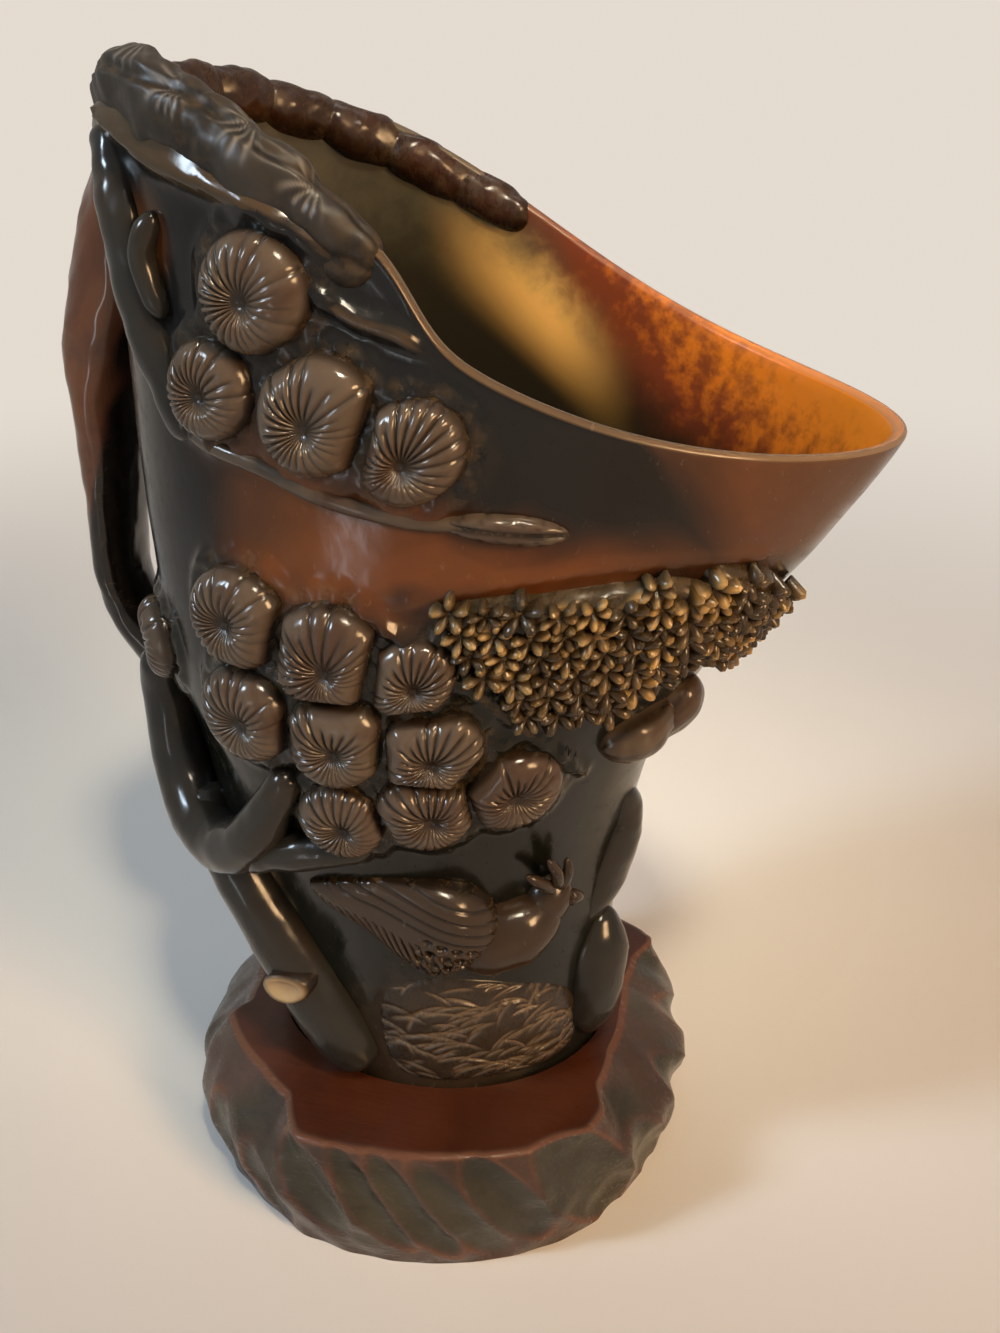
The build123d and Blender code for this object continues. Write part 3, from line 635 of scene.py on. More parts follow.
def stained_wood():
    """Stained wood: clouds of stain in three places, dark grain lines, and ridges where it is worn."""
    material, tree, shader, place = start_material("stained_wood", 0.35, 0.12)
    worn, flat = attribute(tree, "worn"), attribute(tree, "flat_top")
    along = node(tree, "ShaderNodeMapping", {"Vector": place, "Scale": (0.14, 1.0, 1.0)}).outputs[0]
    fibres = {"Vector": along, "Scale": 900.0, "Detail": 6.0, "Roughness": 0.65}
    grain = node(tree, "ShaderNodeTexNoise", fibres).outputs["Fac"]
    stain = clouds(tree, place, 0.018, 0.35, 0.7, 0.5)
    gouged, uncut = mix_colour(tree, stain, *GOUGED_STAIN), mix_colour(tree, stain, *UNCUT_STAIN)
    side = mix_colour(tree, spread(tree, worn, 0.1, 0.5), gouged, uncut)
    wood = mix_colour(tree, flat, side, mix_colour(tree, stain, *TOP_STAIN))
    wood = mix_colour(tree, times(tree, spread(tree, grain, 0.5, 0.8), 0.45), wood, GRAIN_DARK)
    wood = mix_colour(tree, times(tree, spread(tree, worn, 0.55, 1.0), 0.7), wood, RUBBED_RIDGE)
    tree.links.new(wood, shader.inputs["Base Color"])
    rough = math_node(tree, "MULTIPLY_ADD", grain, 0.22, 0.15)
    tree.links.new(math_node(tree, "MULTIPLY_ADD", flat, -0.04, rough), shader.inputs["Roughness"])
    add_bump(tree, shader, grain, 0.22, 0.0006)
    return material


STAND_WOOD = stained_wood()
print("wood finish:", STAND_WOOD.name, "of", len(STAND_WOOD.node_tree.nodes), "nodes")

# %% [markdown]
# Shallow carving belongs to the wall itself: a ridge below the scroll, a collar, the edges of leaf and
# spray, scooped hollows, and a rough ground round every tuft where the horn was cut away. It could be
# sculpted, but as a sum of simple heights over the wall it stays easy to move.

# %% Shallow carving
# A tuft is its angle, height and radius.
RIM_TUFTS = [(-101, 139.5, 8.4), (-109, 126, 7.4), (-92, 124.5, 8.8), (-80, 120.5, 7.8)]
BELT_TUFTS = [(-143, 80, 7.4), (-105.5, 93, 8.4), (-89, 89.5, 8.8), (-106, 77, 8.4), (-87, 75.4, 8.2),
              (-75, 87, 6.8), (-69.5, 74.5, 8.0), (-69.5, 63.5, 7.8), (-52.5, 66.5, 7.8), (-87.5, 60, 7.2)]
BACK_TUFTS = [(145, 82, 7.4), (110, 91, 8.6), (91, 90, 8.4), (104, 76, 8.4), (85, 77, 8.0), (122, 79, 8.0)]
# A ridge is its height, its half width, and the angles and heights it runs through.
WALL_RIDGES = [
    (1.5, 1.3, [(-134, 160), (-128, 158), (-119, 154.5), (-111, 153), (-101, 151), (-96, 149), (-91, 145)]),
    (2.0, 1.2, [(-97, 142.5), (-93, 140), (-88, 137), (-83, 135.5), (-77, 133)]),
    (1.4, 1.1, [(-80, 95), (-64, 84), (-50, 75), (-36, 66)]),
    (0.9, 0.9, [(-82, 96), (-73, 99.5), (-56, 103.5), (-40, 104), (-28, 103)]),
]
# A hollow is its angle, height, radius and depth.
HOLLOWS = [(-86, 141, 6, 0.8), (-94, 145, 6, 0.8), (-136, 60, 9, 1.8)]


def near_line(points, route):
    """Distance from each point to a line on the wall, given as angles and heights."""
    line = through(route, 60)
    knots = wall(line[:, 0], line[:, 1])
    return np.linalg.norm(points[..., None, :] - knots, axis=-1).min(-1)


def wall_relief(points):
    """Height of the shallow carving: bell-shaped ridges, hollows, rough pads under tufts, unevenness."""
    relief = 0.12 * uneven(points, 14, 3)
    for rise, half_width, route in WALL_RIDGES:
        relief = relief + rise * np.exp(-(near_line(points, route) / half_width) ** 2)
    pad = np.zeros(points.shape[:-1])
    for angle, height, radius in RIM_TUFTS + BELT_TUFTS + BACK_TUFTS:
        away = np.linalg.norm(points - wall(angle, height), axis=-1)
        pad = np.maximum(pad, 1 - ramp(away, radius + 1.2, radius + 3.4))
    relief = relief + pad * (0.9 + 0.5 * uneven(points, 3.2, 8) + 0.3 * uneven(points, 1.8, 9))
    for angle, height, radius, depth in HOLLOWS:
        away = np.linalg.norm(points - wall(angle, height), axis=-1)
        relief = relief - depth * np.exp(-((away / radius) ** 4))
    return relief, pad


print("relief at the first hollow:", wall_relief(wall(*HOLLOWS[0][:2])[None])[0].round(2), "mm")

# %% [markdown]
# The bowl is one closed skin: up the outside, over the thin lip, down the inside to a rounded floor, and
# across the foot. A Solidify modifier could give the wall its thickness, but here it grows from the lip to
# the floor, so the inside has a formula of its own. High carving is added later as pieces of its own.

# %% The bowl
LIP_WALL, FLOOR_WALL, FLOOR_HEIGHT, FLOOR_ROUNDING, RECESS_DEPTH = 2.4, 9.0, 42.0, 26.0, 3.0
BOWL_COLUMNS, OUTER_ROWS, LIP_ROWS, INNER_ROWS = 400, 138, 7, 64
SCROLL_SWELL, SCROLL_DROP, SCROLL_WIDTH = 1.8, 5, 4


def inner_wall(angle, height):
    """The hollow: the wall moved in by its thickness and drawn together towards the floor."""
    thick = FLOOR_WALL + (LIP_WALL - FLOOR_WALL) * soft(height, 78, 9)
    rise = np.clip((height - FLOOR_HEIGHT) / FLOOR_ROUNDING, 0, 1)
    share = 0.35 + 0.65 * np.sqrt(1 - (1 - rise) ** 2)
    points = wall(angle, height) - wall_axes(angle, height)[2] * thick[..., None] * [1, 1, 0]
    points[..., :2] *= share[..., None]
    return points


def bowl_shape():
    """The bowl: rows up the outer wall with its relief, a half circle over the lip, and rows down inside."""
    angles = np.linspace(0, 360, BOWL_COLUMNS, endpoint=False) - 180
    rim = rim_at(angles)
    up = np.linspace(0, 1, OUTER_ROWS)[:, None]
    heights = -RECESS_DEPTH + (rim + RECESS_DEPTH) * up
    outer = wall(angles[None], heights)
    normals = wall_axes(angles[None], heights)[2]
    relief, pad = wall_relief(outer)
    scroll = ramp(angles, -168, -140) * (1 - ramp(angles, -98, -84))
    relief = relief + SCROLL_SWELL * scroll * np.exp(-(((rim - heights - SCROLL_DROP) / SCROLL_WIDTH) ** 2))
    relief = relief * ramp(heights, 0.5, 5) * ramp(rim - heights, 0.2, 4)
    outer = outer + normals * relief[..., None]
    inside_rim = inner_wall(angles, rim)
    middle = (outer[-1] + inside_rim) / 2
    half = np.linalg.norm(outer[-1] - inside_rim, axis=-1, keepdims=True) / 2
    lift = unit(wall_axes(angles, rim)[1])
    bend = np.linspace(0, np.pi, LIP_ROWS + 2)[1:-1, None, None]
    lip = middle + (outer[-1] - middle) * np.cos(bend) + lift * half * 0.85 * np.sin(bend)
    down = np.linspace(0, 1, INNER_ROWS)[:, None] ** 0.9
    inner = inner_wall(angles[None], rim + (FLOOR_HEIGHT - rim) * down)
    sole = outer[:1] * [0.6, 0.6, 1]
    floor = inner[-1:] * [0.5, 0.5, 1]
    points = np.concatenate([sole, outer, lip, inner, floor])
    worn = np.full(points.shape[:2], 0.6)
    worn[1 : 1 + OUTER_ROWS] = 0.6 - 0.5 * np.minimum(pad, 0.9) + 0.15 * relief
    worn = np.clip(worn, 0, 0.9)
    # The lip rows get the top number, which the wall finish turns into a painted highlight.
    worn[1 + OUTER_ROWS : 1 + OUTER_ROWS + LIP_ROWS] = 1.0
    return closed_grid(points, worn)


bowl = put_piece("horn_bowl_skin", bowl_shape(), WALL_HORN, ["horn_bowl"])
bowl_rows = 1 + OUTER_ROWS + LIP_ROWS + INNER_ROWS + 1
inside = np.repeat(np.arange(bowl_rows) >= 1 + OUTER_ROWS + LIP_ROWS // 2, BOWL_COLUMNS)
mark_points(bowl.data, "inside", np.append(inside, [False, True]))

# %% [markdown]
# Branches are rounded limbs that lie on the wall and wind round it. A bevelled curve would give a round
# pipe; carved horn needs more, so each limb is a ring of points carried along a smooth route. The ring
# swells unevenly, and grooves can run along it. The ends are drawn in to a point, so that the closing fan is
# tiny, and the underside is pressed flat where it would come out inside the cup.

# %% Limbs
SEAT_DEPTH = -1.2


def limb_shape(
        centres, outward, radius, seed, flat=1.0, lumps=0.04, grooves=0.0, count=7, sides=28, taper=3.0):
    """A limb: circles across a route, flattened by flat, swollen by unevenness and grooved along it."""
    run = unit(np.gradient(centres, axis=0))
    out = unit(outward - run * np.sum(outward * run, -1, keepdims=True))
    side = np.cross(run, out)
    turn = np.linspace(0, 2 * np.pi, sides, endpoint=False)
    far = np.append(0, np.cumsum(np.linalg.norm(np.diff(centres, axis=0), axis=-1)))
    ends = np.minimum(far, far[-1] - far)
    close = np.sqrt(np.clip(1 - (1 - np.clip(ends / taper, 0, 1)) ** 2, 0.02, 1))
    ring = out[:, None] * np.cos(turn)[:, None] * flat + side[:, None] * np.sin(turn)[:, None]
    skin = centres[:, None] + ring * (radius * close)[:, None, None]
    swell = lumps * uneven(skin, 9, seed) + 0.4 * lumps * uneven(skin, 3.5, seed + 1)
    cut = np.cos(count * turn[None] + 0.09 * far[:, None] + 1.2 * uneven(skin, 12, seed + 2))
    cut = np.clip(cut - 0.4, 0, 1) / 0.6
    scale = 1 + swell - grooves * cut
    points = centres[:, None] + ring * (radius * close)[:, None, None] * scale[..., None]
    worn = np.clip(0.75 + 1.6 * swell - 0.85 * cut * min(1, grooves * 10), 0, 1)
    return closed_grid(points, worn)


def seat(shape, base, out):
    """Presses a limb's underside flat: what lies deeper in the wall than SEAT_DEPTH moves out to it."""
    points, quads, tris, worn = shape
    grid = points[:-2].reshape(len(base), -1, 3)
    depth = np.sum((grid - base[:, None]) * out[:, None], -1)
    grid = grid + out[:, None] * np.maximum(SEAT_DEPTH - depth, 0)[..., None]
    return np.vstack([grid.reshape(-1, 3), grid[0].mean(0), grid[-1].mean(0)]), quads, tris, worn


def branch_shape(route, seed, rows=60, **look):
    """A branch by stations of angle, height, stand-off of its centre line from the wall, and radius."""
    line = through(route, rows)
    base = wall(line[:, 0], line[:, 1])
    _, _, out = wall_axes(line[:, 0], line[:, 1])
    return seat(limb_shape(base + out * line[:, 2:3], out, line[:, 3], seed, **look), base, out)


print("limbs reach at most", -SEAT_DEPTH, "mm into the wall")

# %% [markdown]
# The trunk rises from the foot on the front, a loop of branch swings round below the handle, and a stem
# climbs to the rim beside the upper tufts. The back is not known, so it repeats a bough and a trunk more
# plainly. Each branch is a few stations, which are easy to move, and the limb helper does the rest.

# %% Branches
LOWER_TRUNK = [(-100, 1.8, -1.6, 5.0), (-108, 11, 0.8, 5.8), (-120, 26, 1.8, 5.8), (-131, 40, 2.2, 5.2),
               (-143, 52, 2.0, 4.2)]
BRANCH_LOOP = [(-150, 76, 1.6, 3.8), (-153, 66, 3.0, 4.4), (-150, 55, 3.8, 5.0), (-139, 47.5, 4.0, 5.2),
               (-124, 47, 3.8, 5.0), (-111, 53, 3.0, 4.4), (-103, 61, 1.2, 3.5), (-98, 67, -0.6, 2.8)]
LOOP_TAIL = [(-128, 47, 2.8, 4.4), (-116, 48.5, 2.6, 4.2), (-105, 50.5, 1.8, 3.6), (-94, 52, 0.8, 3.0),
             (-82, 53, -0.6, 2.0)]
BACK_BOUGH = [(150, 75, 0.2, 2.8), (154, 62, 2.4, 3.8), (140, 53, 3.8, 4.4), (120, 50, 3.8, 4.4),
              (100, 54, 3.2, 3.9), (84, 62, 2.2, 3.0), (78, 71, 0.0, 2.2)]
BACK_TRUNK = [(100, 3, 0.5, 5.0), (110, 14, 1.5, 4.8), (120, 28, 2.2, 4.4), (128, 40, 2.4, 3.8),
              (127, 49, 1.4, 3.4)]
RIM_STEM = [(-141, 158, -1.0, 4.0), (-134, 149, -0.2, 4.4), (-129, 139, 0.2, 4.2), (-124, 129, -0.2, 3.8),
            (-116, 117, -1.2, 3.0)]
SIDE_TWIG = [(-121, 148, 0.0, 1.8), (-123, 142, 1.4, 2.0), (-120, 134, 0.6, 1.8)]
loop = join([branch_shape(BRANCH_LOOP, 24), branch_shape(LOOP_TAIL, 25, lumps=0.06)])
stem = join([branch_shape(RIM_STEM, 36, lumps=0.07, flat=0.85), branch_shape(SIDE_TWIG, 38, lumps=0.1)])
put_piece("lower_trunk_limb", branch_shape(LOWER_TRUNK, 21, lumps=0.03), BRANCH_HORN, ["lower_trunk"])
put_piece("branch_loop_limb", loop, BRANCH_HORN, ["branch_loop"])
put_piece(
    "back_bough_limb", branch_shape(BACK_BOUGH, 27, lumps=0.07, grooves=0.03), BRANCH_HORN, ["back_bough"])
put_piece(
    "back_trunk_limb", branch_shape(BACK_TRUNK, 30, lumps=0.1, grooves=0.08), BRANCH_HORN, ["back_trunk"])
put_piece("rim_stem_limb", stem, BRANCH_HORN, ["rim_stem"])

# %% [markdown]
# Pine tufts are round cushions of needles: a dimple below the middle, twenty-five grooves that run out from
# it, bolder on one side, and soft sides pressed flat where two tufts meet. Each is a polar grid about its
# dimple. The edge of a tuft is the nearer of its own circle and the lines part of the way to its neighbours,
# which packs them like cushions.

# %% Pine tufts
TUFT_RISE, TUFT_SPOKES, TUFT_RINGS, NEEDLES = 5.0, 240, 17, 25
NEEDLE_DEPTH, DIMPLE_DEPTH, TUFT_GAP = 0.85, 2.1, 0.15


def tuft_edge(place, offset, way, others):
    """How far a tuft reaches each way from its dimple: to its circle, or to the line to a neighbour."""
    angle, height, radius = place
    around, up, _ = wall_axes(angle, height)
    along = way @ offset
    edge = -along + np.sqrt(along**2 + radius**2 - offset @ offset)
    for other in others:
        gap = wall(other[0], other[1]) - wall(angle, height)
        flat = np.array([gap @ unit(around), gap @ unit(up)])
        far = np.linalg.norm(flat)
        if 0.1 < far < radius + other[2]:
            share = far * radius / (radius + other[2])
            reach = way @ flat / far
            line = (share - offset @ flat / far - TUFT_GAP) / np.maximum(reach, 0.05)
            edge = np.where(reach > 0.05, np.minimum(edge, line), edge)
    return (edge + np.roll(edge, 1) + np.roll(edge, -1)) / 3


def tuft_shape(place, others, draw):
    """A tuft: cushion profile (1 - s^4)^0.55 out to its edge, less a dimple and V-shaped needle grooves."""
    angle, height, radius = place
    offset = np.array([draw.uniform(-0.12, 0.12), draw.uniform(-0.25, -0.05)]) * radius
    turn = np.linspace(0, 2 * np.pi, TUFT_SPOKES, endpoint=False)
    way = np.stack([np.cos(turn), np.sin(turn)], -1)
    edge = tuft_edge(place, offset, way, others)
    s = np.linspace(0.04, 1, TUFT_RINGS)[:, None]
    needle = NEEDLES * turn / (2 * np.pi) + 0.25 * np.sin(3 * turn + draw.uniform(0, 6))
    lengths = np.append(draw.uniform(0.62, 1.25, NEEDLES), 0.9)
    length = np.interp(needle % NEEDLES, np.arange(NEEDLES + 1), lengths)
    bold = 0.66 + 0.34 * np.cos(turn - draw.uniform(1.6, 3.0))
    groove = bold * (1 - np.abs(np.sin(np.pi * needle)) ** 0.6)
    window = ramp(s, 0.1, 0.32) * (1 - ramp(s / length, 0.76, 1.0))
    cushion = TUFT_RISE * (radius / 8) * (1 - s**4) ** 0.55
    dimple = DIMPLE_DEPTH * np.exp(-((s / 0.26) ** 2))
    w = cushion - dimple - NEEDLE_DEPTH * groove * window - 0.6 * ramp(s, 0.92, 1.0)
    u = offset[0] + way[:, 0] * edge * s
    v = offset[1] + way[:, 1] * edge * s
    worn = 0.85 - 0.8 * groove * window - 0.6 * np.exp(-((s / 0.2) ** 2)) - 0.75 * ramp(s, 0.85, 1.0)
    sunk = drape(angle, height, *offset, -1.6)
    worn = np.broadcast_to(np.clip(worn, 0, 1), w.shape)
    return closed_grid(drape(angle, height, u, v, w), worn, last=sunk)


for name, places, nodes, seed in (
    ("rim_pine_tufts", RIM_TUFTS, "rim_tuft", 11),
    ("belt_pine_tufts", BELT_TUFTS, "belt_tuft", 12),
    ("back_pine_tufts", BACK_TUFTS, "back_tuft", 13),
):
    draw = np.random.default_rng(seed)
    tufts = join([
        tuft_shape(place, [other for other in places if other is not place], draw) for place in places])
    put_piece(name, tufts, TUFT_HORN, [f"{nodes}_{n}" for n in range(1, len(places) + 1)])

# %% [markdown]
# The handle is the thickest branch. It leaves the wall under the rim, stands off far enough for a finger,
# and comes back to the wall above the belt. It is wider than it is thick, polished by hands, and only gently
# lumpy. Its outer side is red, and its inner side and lower end stay black.

# %% Handle
# A station is its height, its distance from the wall, and half its thickness and width.
HANDLE = [(157, -4.0, 4.6, 7.0), (148, 3.0, 6.6, 9.0), (134, 8.0, 7.4, 9.6), (119, 12.6, 6.4, 9.2),
          (104, 13.6, 4.9, 8.4), (90, 15.0, 4.1, 7.6), (78, 15.6, 3.9, 7.0), (68, 12.0, 4.6, 6.6),
          (60, 4.0, 5.0, 6.6), (56, -4.0, 4.6, 6.4)]
HANDLE_ROWS, HANDLE_SIDES = 110, 48
BLACK_HEIGHTS, BLACK_EDGES = [75, 95, 115], [0.7, 0.0, -0.8]


def handle_shape():
    """The handle: flattened rings along a line of given distance from the wall, thickness and width."""
    line = through(HANDLE, HANDLE_ROWS)
    centres = wall(180.0, line[:, 0])
    centres[:, 0] -= line[:, 1]
    outward = np.broadcast_to([-1.0, 0.0, 0.0], centres.shape)
    flat = (line[:, 2] / line[:, 3])[:, None, None]
    points, quads, tris, worn = limb_shape(
        centres, outward, line[:, 3], 41, flat, lumps=0.03, grooves=0.03, count=2, sides=HANDLE_SIDES,
        taper=4.0)
    grid = points[:-2].reshape(HANDLE_ROWS, HANDLE_SIDES, 3)
    outer = (centres[:, None, 0] - grid[..., 0]) / line[:, 2:3]
    black_edge = np.interp(line[:, 0], BLACK_HEIGHTS, BLACK_EDGES)[:, None]
    worn[:-2] = ramp(outer - black_edge + 0.15 * uneven(grid, 14, 43), -0.15, 0.2).ravel()
    heights = points[:, 2] - STAND_HEIGHT
    side = wall(90.0, heights)[:, 1]
    turn = 180 - np.degrees(np.arcsin(np.clip(points[:, 1] / side, -1, 1)))
    points[:, 0] = np.minimum(points[:, 0], wall(turn, heights)[:, 0] - SEAT_DEPTH)
    return points, quads, tris, worn


put_piece("handle_limb", handle_shape(), HANDLE_HORN, ["handle_trunk"])

# %% [markdown]
# Two boughs lie along the rim, astride the wall. The far one shows from the inside as a row of lobes. The
# near one is a folded scroll that hangs down the outside, with fans of short needles scratched into its top
# and painted pale as a highlight. Both are limbs again, and their lobes, folds and fans are patterns along
# and across the limb.

# %% Rim boughs
# A station is its angle, how far it lies below the rim, and its radius.
NEAR_BOUGH = [(-166, 0.6, 1.8), (-150, 0.6, 2.4), (-134, 0.8, 4.0), (-118, 1.0, 4.8), (-102, 1.2, 4.6),
              (-86, 1.6, 2.8)]
FAR_BOUGH = [(176, 0.8, 3.6), (160, 0.8, 4.4), (142, 2.0, 4.2), (124, 3.4, 4.2), (106, 3.4, 4.0),
             (90, 2.4, 3.2)]
# A fan is its place, as a share of the bough's length, and how far across the bough it lies.
NEAR_FANS = [(0.3, 2.0), (0.42, -1.0), (0.56, 2.0), (0.7, 0.0), (0.85, 1.0)]
FAR_FANS = [(0.05, 0.0), (0.12, 1.0)]
BOUGH_ROWS, BOUGH_SIDES, FAN_RAYS, SCRATCH_DEPTH = 340, 72, 7, 0.12


def fan_scratches(fans, far, across, up):
    """Needles scratched in fans: thin rays about each fan's point, between two distances, on top."""
    scratch = np.zeros(across.shape)
    for place, side in fans:
        along = far[:, None] - place * far[-1]
        reach = np.hypot(along, across - side)
        bearing = np.arctan2(across - side, along)
        ray = np.abs(np.sin(FAN_RAYS * bearing)) ** 5 * ramp(np.cos(bearing - 2.3), -0.3, 0.4)
        ray = ray * ramp(reach, 0.4, 1.2) * (1 - ramp(reach, 3.0, 6.0)) * ramp(up, 0.0, 0.3)
        scratch = np.maximum(scratch, ray)
    return scratch


def rim_bough_shape(route, lobes, depth, seed, fans, folds=0.0, hang=0.0):
    """A bough along the rim: a limb that swells in lobes by depth, is wound with folds, and hangs down the
    outside by a share of its radius. Its fans are scratched in and painted pale as a highlight."""
    angle, drop, radius = through(route, BOUGH_ROWS).T
    height = rim_at(angle) - drop
    _, lift, out = wall_axes(angle, height)
    centres = wall(angle, height) - out * LIP_WALL / 2
    share = np.linspace(0, 1, BOUGH_ROWS)
    lobe = np.abs(np.sin(np.pi * lobes * share**1.1)) ** 0.6
    radius = radius * (1.04 - depth + depth * lobe)
    points, quads, tris, worn = limb_shape(
        centres, out, radius, seed, flat=0.85, lumps=0.1, grooves=folds, count=4, sides=BOUGH_SIDES)
    grid = points[:-2].reshape(BOUGH_ROWS, BOUGH_SIDES, 3)
    low = -np.sum((grid - centres[:, None]) * unit(lift)[:, None], -1) / radius[:, None]
    outer = np.sum((grid - centres[:, None]) * out[:, None], -1) / radius[:, None]
    drop = ramp(low, -0.4, 0.9) * ramp(outer, -0.1, 0.5)
    sag = (drop * radius[:, None])[..., None]
    grid = grid - (unit(lift)[:, None] * hang + out[:, None] * 0.25 * (hang > 0)) * sag
    inward = unit(centres[:, None] - grid)
    far = np.append(0, np.cumsum(np.linalg.norm(np.diff(centres, axis=0), axis=-1)))
    up = -np.sum(inward * unit(lift)[:, None], -1)
    across = -np.sum(inward * out[:, None], -1) * radius[:, None]
    scratch = fan_scratches(fans, far, across, up)
    points[:-2] = (grid + inward * (SCRATCH_DEPTH * scratch)[..., None]).reshape(-1, 3)
    # The scratched fans get the high colour: a pale painted highlight where the needles catch the light.
    worn[:-2] = np.clip(0.22 * worn[:-2] + 0.7 * scratch.ravel() + 0.1 * np.repeat(lobe, BOUGH_SIDES), 0, 1)
    return points, quads, tris, worn


near_bough = rim_bough_shape(NEAR_BOUGH, 3, 0.12, 51, NEAR_FANS, folds=0.16, hang=1.0)
far_bough = rim_bough_shape(FAR_BOUGH, 6, 0.24, 54, FAR_FANS)
put_piece("rim_bough_near_scroll", near_bough, BOUGH_HORN, ["rim_bough_near"])
put_piece("rim_bough_far_lobes", far_bough, LOBE_HORN, ["rim_bough_far"])

# %% [markdown]
# Some carving is a low panel with an outline of its own: the ground under the blossoms, the bird's wing and
# the scratched ground at the foot. Each is a polar grid about its middle, drawn flat inside a smooth closed
# outline and then draped over the wall. A pattern on it is a height over that flat drawing.

# %% Panels
def flat_outline(corners):
    """The outline of a carved panel in flat millimetres about its middle, as a smooth closed line."""
    places = np.array(corners, float)
    middle = places.mean(0)
    around, up, _ = wall_axes(*middle)
    flat = (places - middle) * [math.radians(1) * np.linalg.norm(around), np.linalg.norm(up)]
    ring = np.vstack([flat[-2:], flat, flat[:2]])
    return middle, through(ring, 40 * len(ring))


def edge_reach(outline, turn):
    """How far an outline reaches from its middle in each direction."""
    bearing = np.arctan2(outline[:, 1], outline[:, 0])
    order = np.argsort(bearing)
    return np.interp(turn, bearing[order], np.linalg.norm(outline, axis=-1)[order], period=2 * np.pi)


def panel_grid(corners, first, rings, spokes):
    """A panel's middle, its shares from first to 1 of the way out, and its flat u and v on that grid."""
    middle, outline = flat_outline(corners)
    turn = np.linspace(-np.pi, np.pi, spokes, endpoint=False)
    reach = edge_reach(outline, turn)
    s = np.linspace(first, 1, rings)[:, None]
    return middle, s, np.cos(turn) * reach * s, np.sin(turn) * reach * s


def panel_shape(middle, u, v, w, worn, depth):
    """Drapes a panel's heights over the wall and closes it below by a point at a depth in the wall."""
    return closed_grid(drape(*middle, u, v, w), worn, last=drape(*middle, 0.0, 0.0, -depth))


print("panel helpers:", [helper.__name__ for helper in (flat_outline, edge_reach, panel_grid, panel_shape)])

# %% [markdown]
# The blossoms are small five-petalled flowers cut as sharp little stars, and a lumpy pad carries them. A
# flower is one small polar grid of a few rings: its reach goes in and out five times for the petals, and
# each petal has a ridge. Eight points round each petal are enough at this size.

# %% Flowers and their pad
FLOWER_SPOKES = 40
FLOWER_RINGS = np.array([0.1, 0.25, 0.5, 0.75, 0.93, 1.0])
RING_HEIGHTS = np.array([0.0, 0.45, 0.85, 1.0, 0.8, -0.9])
PAD_RISE, PAD_BUMPS, PAD_RINGS, PAD_SPOKES = 2.2, 0.5, 26, 150


def pad_shape(corners, seed):
    """The pad of a spray: a plate within the outline, rounded at its edge, with unevenness."""
    middle, s, u, v = panel_grid(corners, 0.03, PAD_RINGS, PAD_SPOKES)
    flat = np.stack([u, v, np.zeros_like(u)], -1)
    rough = uneven(flat, 5, seed) + 0.5 * uneven(flat, 2.4, seed + 1)
    w = (PAD_RISE + PAD_BUMPS * rough) * (1 - ramp(s, 0.84, 1) ** 2) - 0.6 * ramp(s, 0.94, 1)
    worn = np.clip(0.35 + 0.25 * rough - 0.3 * ramp(s, 0.85, 1), 0, 1)
    return panel_shape(middle, u, v, w, worn, 1.5)


def flower_shape(angle, height, size, turn_by, lean, glint_share):
    """A flower on the pad: five pointed petals with a ridge each, low between them, round a sunk heart."""
    turn = np.linspace(0, 2 * np.pi, FLOWER_SPOKES, endpoint=False)
    s = FLOWER_RINGS[:, None]
    petal = np.abs(np.cos(2.5 * turn))
    reach = size * (0.5 + 0.5 * petal**1.4)
    ridge = (0.15 + 0.85 * petal**1.3) * RING_HEIGHTS[:, None]
    u = np.cos(turn + turn_by) * reach * s
    v = np.sin(turn + turn_by) * reach * s
    w = PAD_RISE + 0.62 * size * ridge + lean[0] * u + lean[1] * v
    # The glint share puts a painted gold glint on the petal ridges.
    worn = np.clip(0.28 + glint_share * np.clip(ridge, 0, 1) ** 2, 0, 1)
    return panel_shape((angle, height), u, v, w, worn, 1.6 - PAD_RISE)


print("a flower has", FLOWER_SPOKES * len(FLOWER_RINGS) + 2, "points, its pad", PAD_SPOKES * PAD_RINGS + 2)

# %% [markdown]
# A spray is crowded with flowers, with deep shadow between them. They are scattered on a staggered pattern
# inside the outline of the spray, shaken with a fixed seed. A particle system would do, but here each flower
# has to lie on the wall and lean its own way. Only some get a painted gold glint, so it comes and goes.

# %% Blossom sprays
FRONT_SPRAY = [(-73, 97), (-56, 101), (-38, 101), (-25, 89), (-40, 80), (-54, 79)]
SPOUT_SPRAY = [(-38, 103), (-26, 101), (-12, 95), (2, 90), (8, 84), (-6, 80), (-20, 85), (-32, 92)]
BACK_SPRAY = [(70, 98), (54, 101), (36, 100), (24, 90), (38, 80), (56, 80)]
FLOWER_STEP, FLOWER_RADIUS, EDGE_ROOM = 4.4, 2.9, 0.7


